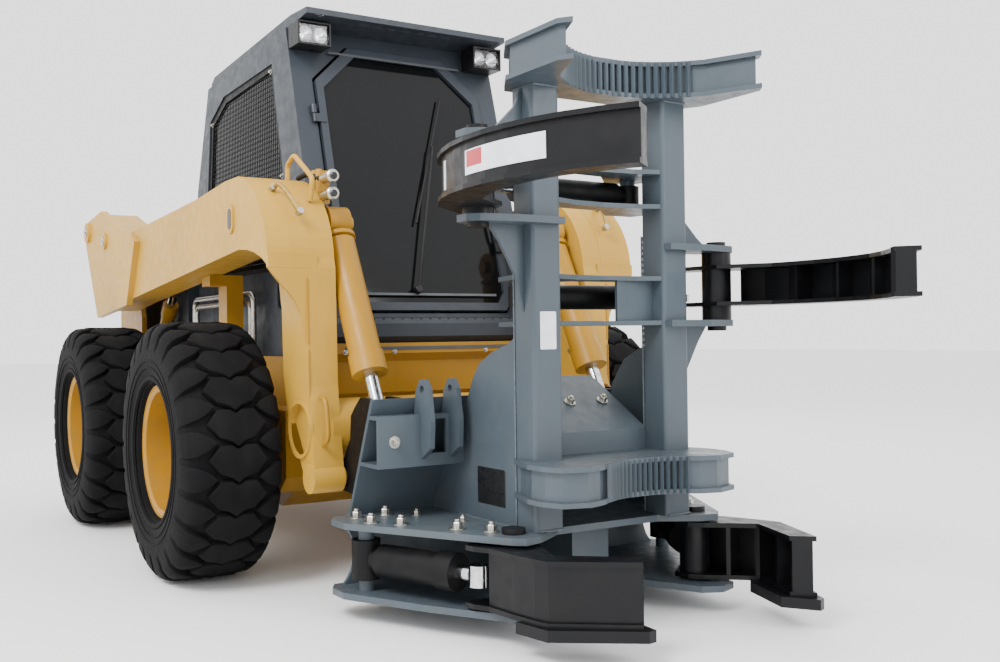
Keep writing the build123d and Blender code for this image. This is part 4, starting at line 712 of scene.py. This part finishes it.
def screen(side):
    """A framed square mesh over a dark pane, whose tinted glass is also darkened to paint the shade inside
    the cab.
    """
    piece = Piece(f"side_screen_{'left' if side > 0 else 'right'}", "chassis", MESH, TINT_AND_SHADE_GLASS)

    def at(x, z, deep):
        return (x, side * deep, z)

    inner = inset(WINDOW, 0.034)
    rings = [
        [at(x, z, deep) for x, z in ring]
        for ring, deep in ((WINDOW, 0.445), (WINDOW, 0.4555), (inner, 0.4555), (inner, 0.445))
    ]
    count = len(WINDOW)
    faces = []
    for i in range(4):
        for k in range(count):
            n = (k + 1) % count
            j = (i + 1) % 4
            faces.append([i * count + k, i * count + n, j * count + n, j * count + k])
    if side < 0:
        faces = [face[::-1] for face in faces]
    piece.put([p for ring in rings for p in ring], faces, 0)
    inner = inset(WINDOW, 0.030)
    for axis, low, high in ((1, 1.15, 1.96), (0, -0.38, 0.66)):
        steps = int((high - low) / MESH_PITCH)
        for k in range(steps + 1):
            level = low + k * MESH_PITCH
            span = crossing(inner, level, axis)
            if not span:
                continue
            deep = 0.4512 if axis else 0.4488
            ends = [(span[0], level), (span[1], level)] if axis else [(level, span[0]), (level, span[1])]
            piece.run([at(x, z, deep) for x, z in ends], MESH_WIRE, 5)
    # the dark pane: tinted glass whose darkness also paints the shade inside the cab
    pane = [at(x, z, 0.4445) for x, z in inset(WINDOW, 0.01)]
    piece.prism(pane, (0, side * 0.0015, 0), 1)
    obj = piece.done()
    return obj


screens = [screen(1), screen(-1)]
for obj in screens:
    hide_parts("side_screens")

for side_name, side in SIDES.items():
    lamp = Piece(f"headlight_{side_name}", "chassis", PLASTIC, REFLECTOR, LENS)
    y0, y1 = sorted((side * 0.324, side * 0.460))
    lamp.box((0.655, y0, 1.980), (0.692, y1, 2.070))
    for low, high in (
        ((0.692, y0, 1.980), (0.752, y0 + 0.007, 2.070)),
        ((0.692, y1 - 0.007, 1.980), (0.752, y1, 2.070)),
        ((0.692, y0 + 0.007, 1.980), (0.752, y1 - 0.007, 1.987)),
        ((0.692, y0 + 0.007, 2.063), (0.752, y1 - 0.007, 2.070)),
    ):
        lamp.box(low, high)
    for bowl in (-1, 1):
        centre = (0.694, (y0 + y1) / 2 + bowl * 0.031, 2.025)
        lamp.turned_form(
            centre,
            (1, 0, 0),
            [
                (0, TIP),
                (0, 0.010),
                (0.014, 0.022),
                (0.034, 0.029),
                (0.036, 0.029),
                (0.015, 0.020),
                (0.002, 0.009),
                (0.001, TIP),
            ],
            32,
            1,
        )
    lamp.box((0.736, y0 + 0.008, 1.988), (0.741, y1 - 0.008, 2.062), 2)
    obj = lamp.done(0.0015)
    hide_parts("headlights")

door = Piece("door_handle_and_wiper", "cab_door", PLASTIC, GREY_LABEL)
door.tube(
    [
        on_front(0.345, 1.455, 0.004),
        on_front(0.345, 1.452, 0.034),
        on_front(0.345, 1.35, 0.046),
        on_front(0.345, 1.248, 0.034),
        on_front(0.345, 1.245, 0.004),
    ],
    0.007,
    10,
)
door.slab(on_front(0.345, 1.22, 0.006), (0, 1, 0), FRONT_UP, 0.034, 0.055, 0.012, 0, 0.006)
door.cyl(on_front(-0.06, 1.035, 0.004), on_front(-0.06, 1.035, 0.030), 0.016, 20, 0, 0.003)
door.run([on_front(-0.06, 1.035, 0.024), on_front(0.10, 1.62, 0.022)], 0.0055, 8)
door.run([on_front(-0.02, 1.30, 0.010), on_front(0.18, 1.84, 0.010)], 0.0045, 8)
for z in (1.02, 1.98):
    door.slab(on_front(0.0, z, 0.0062), (0, 1, 0), FRONT_UP, 0.60, 0.010, 0.0012, 1)
door.done(0.0008)

trim = Piece("cab_trim", "chassis", CAB, PLASTIC, BLACK_LABEL, ZINC, GREY_LABEL)
for side in (1, -1):
    x, z = 0.60, 0.985
    trim.tube(
        [
            (x, side * 0.462, z),
            (x + 0.002, side * 0.492, z + 0.004),
            (x + 0.002, side * 0.496, z + 0.09),
            (x, side * 0.490, z + 0.115),
            (x, side * 0.462, z + 0.12),
        ],
        0.007,
        10,
    )
    for corner in (
        (-0.375, 1.16), (0.645, 1.16), (-0.28, 1.85), (0.455, 1.935), (0.565, 1.50), (-0.335, 1.50)
    ):
        trim.nut((corner[0], side * 0.4556, corner[1]), (0, side, 0), 0.011, 3, False)
trim.slab((1.0095, 0.0, 0.819), (0, 1, 0), (0, 0, 1), 0.80, 0.012, 0.0012, 4)
for y in (-0.40, -0.20, 0.20, 0.40):
    trim.nut((1.008, y, 0.806), (1, 0, 0), 0.010, 3, False)
for k in range(17):
    y = -0.32 + 0.04 * k
    trim.box((0.9985, y - 0.006, 0.925), (0.999, y + 0.006, 0.929), 1)
trim.done(0.0008)


def cushion(name, centre, right, up, half_width, half_height, thick, crown_height, channels):
    """A stuffed pad with piping round its edge.

    Its sides pull in between its corners, and its crowned face has sewn channels.
    """
    centre, right, up = Vector(centre), Vector(right).normalized(), Vector(up).normalized()
    out = right.cross(up)
    seg = 96
    rim = []
    for k in range(seg):
        angle = 2 * math.pi * k / seg
        c, s_ = math.cos(angle), math.sin(angle)
        px = math.copysign(abs(c) ** 0.36, c)
        py = math.copysign(abs(s_) ** 0.36, s_)
        pull = 0.045
        rim.append(
            (px * (1 - pull * (1 - py * py)) * half_width, py * (1 - pull * (1 - px * px)) * half_height)
        )
    levels = [(0.0, 0.02), (0.0, 0.5), (0.0, 0.86), (0.06, 0.955), (0.28, 0.99), (0.55, 1.0), (0.76, 0.985)]
    levels += [(0.90, 0.95), (0.97, 0.90), (1.0, 0.82)] + [
        (1.0, 0.82 - 0.08 * k)
        for k in range(1, 10)
    ] + [(1.0, 0.03)]
    verts = []
    for deep, scale in levels:
        for px, py in rim:
            x, y = px * scale, py * scale
            rise = thick * deep
            if deep >= 0.97:
                rise += crown_height * (1 - (x / half_width) ** 2) * (1 - (y / half_height) ** 2)
                for place in channels:
                    rise -= 0.009 * math.exp(-(((x - place * half_width) / 0.013) ** 2))
            verts.append(centre + right * x + up * y + out * rise)
    piece = Piece(name, "chassis", VINYL)
    piece.put(verts, ring_faces(len(levels), seg), 0, True)
    line = [centre + right * px + up * py + out * thick * 0.60 for px, py in rim]
    piece.run(line + line[:2], 0.0035, 8)
    obj = piece.done(0, 80)
    modifier = obj.modifiers.new("round", "SUBSURF")
    modifier.levels = modifier.render_levels = 1
    return obj


base = Piece("seat_base", "chassis", MATTE_PLASTIC, PLASTIC)
base.prism(
    [(-0.28, -0.20, 0.8005), (0.14, -0.20, 0.8005), (0.16, -0.20, 0.985), (-0.28, -0.20, 0.985)], (0, 0.40, 0)
)
base.prism(
    [(-0.300, -0.17, 0.985), (-0.262, -0.17, 0.985), (-0.318, -0.17, 1.66), (-0.372, -0.17, 1.66)],
    (0, 0.34, 0),
    1,
)
for k in range(5):
    base.box((-0.26, -0.204, 0.83 + 0.03 * k), (0.13, 0.204, 0.842 + 0.03 * k), 1)
seat_shell = base.done(0.006)
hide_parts("seat")
seat_pad = cushion(
    "seat_cushion", (-0.055, 0, 0.986), (0, -1, 0), (1, 0, 0.02), 0.232, 0.232, 0.100, 0.026, (-0.5, 0.5)
)
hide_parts("seat")
back_pad = cushion(
    "seat_back_cushion",
    (-0.278, 0, 1.40),
    (0, 1, 0),
    (-0.096, 0, 0.995),
    0.210,
    0.300,
    0.066,
    0.022,
    (-0.5, 0.5),
)
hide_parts("seat")

# ---------------------------------------------------------------- loader boom
boom = Piece("boom_fittings", "boom", PALE_YELLOW, BRASS, HOSE, BLACK_LABEL, ZINC, YELLOW)
for side in (1, -1):
    for x, z, face, radius in ((-1.306, 1.432, 0.814, 0.030), (-0.939, 1.357, 0.810, 0.026)):
        boom.cyl((x, side * (face - 0.003), z), (x, side * (face + 0.006), z), radius, 28, 4, 0.002)
        boom.cyl((x, side * face, z), (x, side * (face + 0.009), z), 0.006, 12, 1, 0.001)
        boom.cyl(
            (x + radius * 0.6, side * face, z), (x + radius * 0.6, side * (face + 0.011), z), 0.006, 6, 4
        )
    hose_slot = (0.86, side * 0.7702, 1.285)
    right_way = Vector((-side, 0, 0))
    boom.slab(hose_slot, right_way, (0, 0, 1), 0.062, 0.104, 0.007, 0, 0.031)
    boom.slab(
        (hose_slot[0], side * 0.7765, hose_slot[2]), right_way, (0, 0, 1), 0.034, 0.074, 0.002, 3, 0.0168
    )
    # weld beads where the elbow's plates meet
    for z0, z1 in ((0.60, 0.82), (0.84, 1.06)):
        boom.weld(
            (1.213 + (1.095 - z0) * 0.024, side * 0.634, z0),
            (1.213 + (1.095 - z1) * 0.024, side * 0.634, z1),
            0.004,
            5,
        )
    # couplers at the top of the elbow, towards the cab
    if side < 0:
        for z in (1.352, 1.412):
            boom.cyl((1.105, -0.520, z), (1.165, -0.520, z), 0.017, 20, 4, 0.003)
            boom.cyl((1.165, -0.520, z), (1.186, -0.520, z), 0.023, 24, 4, 0.004)
            boom.cyl((1.186, -0.520, z), (1.194, -0.520, z), 0.012, 16, 3, 0.002)
        boom.box((1.100, -0.536, 1.325), (1.108, -0.500, 1.440), 5)
        boom.tube(
            [(1.10, -0.520, 1.352), (1.04, -0.520, 1.36), (0.98, -0.526, 1.40), (0.90, -0.530, 1.41)],
            0.010,
            10,
            2,
        )
        boom.tube(
            [(1.10, -0.520, 1.412), (1.04, -0.520, 1.425), (0.98, -0.526, 1.445), (0.90, -0.530, 1.44)],
            0.010,
            10,
            2,
        )
    # oil lines over the elbow
    route = [
        (1.085, 0.700, 1.372),
        (1.110, 0.690, 1.382),
        (1.150, 0.676, 1.352),
        (1.190, 0.660, 1.300),
        (1.196, 0.650, 1.282),
    ]
    boom.tube([(x, side * y, z) for x, y, z in route], 0.008, 10, 1)
    for k in (0, 4):
        x, y, z = route[k]
        boom.cyl((x - 0.012, side * y, z - 0.004), (x + 0.012, side * y, z + 0.004), 0.013, 6, 4, 0.001)
    # handle on the leg's face
    boom.tube(
        [
            (1.240, side * 0.600, 0.660),
            (1.272, side * 0.600, 0.650),
            (1.288, side * 0.600, 0.590),
            (1.290, side * 0.600, 0.530),
            (1.256, side * 0.600, 0.505),
        ],
        0.008,
        10,
        5,
    )
boom.done(0.0008)

for name, body, start, end, y, radius, reach in (
    ("lift", "lift_barrels", (-1.200, 0.430), (-0.630, 1.107), 0.544, 0.032, 0.790),
    ("tilt", "tilt_barrels", (1.066, 1.263), (1.395, 0.612), 0.463, 0.055, 0.590),
):
    dress_up = Piece(f"{name}_cylinder_fittings", body, YELLOW, ZINC, PLASTIC)
    low, high = Vector((start[0], 0, start[1])), Vector((end[0], 0, end[1]))
    way = (high - low).normalized()
    for side in (1, -1):
        foot = low + Vector((0, side * y, 0))
        for along, wide in ((0.055, 1.10), (reach - 0.075, 1.10)):
            dress_up.turned_form(
                foot + way * along,
                way,
                [(0, radius * 0.9), (0.002, radius * wide), (0.016, radius * wide), (0.018, radius * 0.9)],
                36,
            )
        out = Vector((way.z, 0, -way.x))
        for along in (0.10, reach - 0.11):
            port = foot + way * along + out * radius * 0.92
            dress_up.cyl(port, port + out * 0.026, 0.014, 18, 0, 0.002)
            dress_up.cyl(port + out * 0.026, port + out * 0.040, 0.013, 6, 1, 0.001)
    dress_up.done(0.0008)

# ---------------------------------------------------------------- shear head
head = Piece(
    "head_welds_and_bolts", "head", WELD, ZINC, WHITE_LABEL, BLACK_LABEL, RED_LABEL, HEAD, SATIN_BLACK
)
for side in (1, -1):
    for y in (0.1955, 0.2925):
        head.weld((1.9305, side * y, 0.3), (1.9305, side * y, 1.165), 0.004)
    head.weld((1.92, side * 0.2945, 0.2985), (1.62, side * 0.2945, 0.2985), 0.005)
    head.weld((1.92, side * 0.2785, 0.2985), (1.62, side * 0.2785, 0.2985), 0.005)
    head.weld((1.93, side * 0.244, 0.300), (2.03, side * 0.244, 0.300), 0.004)
    head.weld((2.0305, side * 0.200, 0.301), (2.0305, side * 0.288, 0.301), 0.005)
    head.weld((2.0305, side * 0.200, 1.573), (2.0305, side * 0.288, 1.573), 0.005)
    for x, y in ((1.50, 0.60), (1.50, 0.50), (1.60, 0.60), (1.68, 0.54), (1.84, 0.44), (1.93, 0.38)):
        head.nut((x, side * y, 0.298), (0, 0, 1), 0.026, 1)
    for x, y in ((1.56, 0.42), (1.74, 0.36)):
        head.nut((x, side * y, 0.298), (0, 0, 1), 0.018, 1)
    for y in (0.32, 0.42, 0.54):
        head.nut((1.6455, side * y, 0.541), (1, 0, 0), 0.020, 1)
for y in (-0.13, 0.0, 0.13):
    head.nut((1.806, y, 0.6465), (0.5024, 0, 0.8647), 0.020, 1)
# blank plates where the machine carries labels
head.slab((2.0302, -0.244, 0.872), (0, 1, 0), (0, 0, 1), 0.056, 0.108, 0.0012, 2, 0.004)
head.slab((1.80, -0.2945, 0.405), (1, 0, 0), (0, 0, 1), 0.150, 0.110, 0.0012, 3, 0.004)
head.slab((1.80, 0.2945, 0.405), (-1, 0, 0), (0, 0, 1), 0.150, 0.110, 0.0012, 3, 0.004)
# a small tab on the left post
head.box((1.934, 0.295, 1.400), (1.940, 0.345, 1.470), 5)
head.done(0.0008)

# serrated pads along the throats of both yokes
for name, centre_x, radius, half_angle, z0, z1 in (
    ("upper", 2.350, 0.345, 46, 1.576, 1.682), ("lower", 2.410, 0.280, 34, 0.392, 0.498)
):
    teeth = Piece(f"{name}_yoke_teeth", "head", HEAD)
    count = int(2 * half_angle / 4)
    for k in range(count):
        a0 = math.radians(180 - half_angle + 4 * k + 0.6)
        a1 = math.radians(180 - half_angle + 4 * k + 3.4)
        mid = (a0 + a1) / 2
        ring = [(centre_x + radius * 1.004 * math.cos(a0), radius * 1.004 * math.sin(a0), z0)]
        ring.append((centre_x + (radius - 0.011) * math.cos(mid), (radius - 0.011) * math.sin(mid), z0))
        ring.append((centre_x + radius * 1.004 * math.cos(a1), radius * 1.004 * math.sin(a1), z0))
        teeth.prism(ring, (0, 0, z1 - z0))
    teeth.done(0.0008)


def about(point, pivot, degrees):
    c, s_ = math.cos(math.radians(degrees)), math.sin(math.radians(degrees))
    x, y = point[0] - pivot[0], point[1] - pivot[1]
    return (pivot[0] + c * x - s_ * y, pivot[1] + s_ * x + c * y)


ARM_PIVOT = (1.994, 0.452)
ARM_ARC = (2.324, -0.073)
ARM_RADIUS = 0.727
WEB_INSET = 0.0118
for side_name, side, low_z, rest in (("right", -1, 1.215, 6.0), ("left", 1, 0.945, -8.0)):
    arm = Piece(
        f"grapple_arm_{side_name}_trim", f"grapple_arm_{side_name}", WHITE_LABEL, RED_LABEL, SATIN_BLACK, ZINC
    )

    def on_web(turn, z, out):
        radius = ARM_RADIUS - WEB_INSET + out
        x = ARM_ARC[0] + radius * math.cos(math.radians(turn))
        y = ARM_ARC[1] + radius * math.sin(math.radians(turn))
        x, y = about((x, y), ARM_PIVOT, rest)
        return Vector((x, side * y, z))

    def curved(first, last, z0, z1, mat):
        steps = 10
        verts = []
        for k in range(steps + 1):
            turn = first + (last - first) * k / steps
            for out, z in ((0.0, z0), (0.0, z1), (0.0014, z1), (0.0014, z0)):
                verts.append(on_web(turn, z, out))
        faces = [[0, 1, 2, 3], [steps * 4 + k for k in (3, 2, 1, 0)]]
        for i in range(steps):
            for k in range(4):
                n = (k + 1) % 4
                faces.append([i * 4 + k, i * 4 + n, i * 4 + 4 + n, i * 4 + 4 + k])
        if side > 0:
            faces = [face[::-1] for face in faces]
        arm.put(verts, faces, mat)

    middle = low_z + 0.064
    curved(91.0, 67.0, middle - 0.030, middle + 0.030, 0)
    curved(90.4, 84.4, middle - 0.012, middle + 0.027, 1)
    curved(106.0, 104.0, middle - 0.042, middle + 0.034, 0)
    hub = (ARM_PIVOT[0], side * ARM_PIVOT[1])
    nut_z = low_z + 0.142
    arm.cyl((*hub, nut_z), (*hub, nut_z + 0.004), 0.020, 6, 3, 0.001)
    arm.done(0.0)

# ---------------------------------------------------------------- rear
rear = Piece("rear_door_grille", "rear_door", SATIN_BLACK, RED_LENS, PLASTIC, ZINC)
for k in range(15):
    z = 0.760 + 0.029 * k
    rear.prism(
        [
            (-1.5405, -0.362, z),
            (-1.5405, -0.362, z + 0.006),
            (-1.556, -0.362, z + 0.014),
            (-1.556, -0.362, z + 0.008),
        ],
        (0, 0.724, 0),
    )
for y in (-0.362, 0.356):
    rear.box((-1.557, y, 0.748), (-1.5395, y + 0.006, 1.182))
for k in range(4):
    y = -0.22 + 0.145 * k
    rear.box((-1.5435, y, 0.75), (-1.5395, y + 0.004, 1.18))
for y in (-0.405, 0.405):
    rear.box((-1.5635, y - 0.026, 1.195), (-1.5595, y + 0.026, 1.245), 2)
    rear.box((-1.5685, y - 0.022, 1.199), (-1.5635, y + 0.022, 1.241), 1)
rear.tube(
    [(-1.560, 0.405, 0.86), (-1.590, 0.405, 0.87), (-1.592, 0.405, 0.97), (-1.560, 0.405, 0.98)], 0.007, 10, 2
)
rear.slab((-1.5602, 0.405, 0.80), (0, -1, 0), (0, 0, 1), 0.030, 0.045, 0.004, 3, 0.004)
rear.done(0.001)

hood = Piece("hood_louvres", "chassis", CAB, SATIN_BLACK)
for k in range(11):
    x = -1.40 + 0.045 * k
    hood.prism([(x, -0.27, 1.3298), (x + 0.030, -0.27, 1.3298), (x + 0.026, -0.27, 1.3365)], (0, 0.54, 0))
hood.done(0.0008)

# ---------------------------------------------------------------- camera, floor and light
camera_data = bpy.data.cameras.new("camera")
SENSOR_WIDTH = 36.0
FOCAL_PIXELS = 1056.8
IMAGE_WIDTH = 1000.0
camera_data.sensor_width = SENSOR_WIDTH
camera_data.lens = FOCAL_PIXELS * SENSOR_WIDTH / IMAGE_WIDTH
camera_data.shift_x = 0.05
camera_data.shift_y = 0.002
camera = bpy.data.objects.new("camera", camera_data)
bpy.context.scene.collection.objects.link(camera)
forward = Vector((-0.859, 0.512, 0.0037)).normalized()
right = forward.cross(Vector((0, 0, 1))).normalized()
up = right.cross(forward)
ROLL = math.radians(0.753)
CAMERA_PLACE = (4.475, -2.027, 0.857)
tilted_up = up * math.cos(ROLL) + right * math.sin(ROLL)
tilted_right = forward.cross(tilted_up)
rotation = Matrix((tilted_right, tilted_up, -forward)).transposed()
camera.matrix_world = Matrix.Translation(CAMERA_PLACE) @ rotation.to_4x4()
bpy.context.scene.camera = camera

floor_mesh = bpy.data.meshes.new("floor")
FLOOR = 40
floor_mesh.from_pydata(
    [(-FLOOR, -FLOOR, 0), (FLOOR, -FLOOR, 0), (FLOOR, FLOOR, 0), (-FLOOR, FLOOR, 0)], [], [(0, 1, 2, 3)]
)
floor = bpy.data.objects.new("floor", floor_mesh)
bpy.context.scene.collection.objects.link(floor)
floor_paint, _, floor_shader, _ = node_tree("pale_floor")
floor_shader.inputs["Base Color"].default_value = (0.86, 0.86, 0.86, 1)
floor_shader.inputs["Roughness"].default_value = 0.85
floor_mesh.materials.append(floor_paint)

world = bpy.data.worlds.new("studio")
world.use_nodes = True
world.node_tree.nodes["Background"].inputs["Color"].default_value = (1, 1, 1, 1)
world.node_tree.nodes["Background"].inputs["Strength"].default_value = 2.1
bpy.context.scene.world = world


def area_light(name, place, target, size, power):
    data = bpy.data.lights.new(name, "AREA")
    data.shape = "DISK"
    data.size = size
    data.energy = power
    lamp = bpy.data.objects.new(name, data)
    bpy.context.scene.collection.objects.link(lamp)
    direction = Vector(target) - Vector(place)
    lamp.matrix_world = Matrix.Translation(place) @ direction.to_track_quat("-Z", "Y").to_matrix().to_4x4()


area_light("key", (3.5, -5.0, 6.0), (0.5, 0, 0.8), 3.0, 620)
area_light("front_fill", (7.5, 2.0, 3.5), (1.0, 0, 0.8), 4.0, 180)
area_light("back_rim", (-5.0, 4.0, 5.0), (0, 0, 1.0), 4.0, 160)
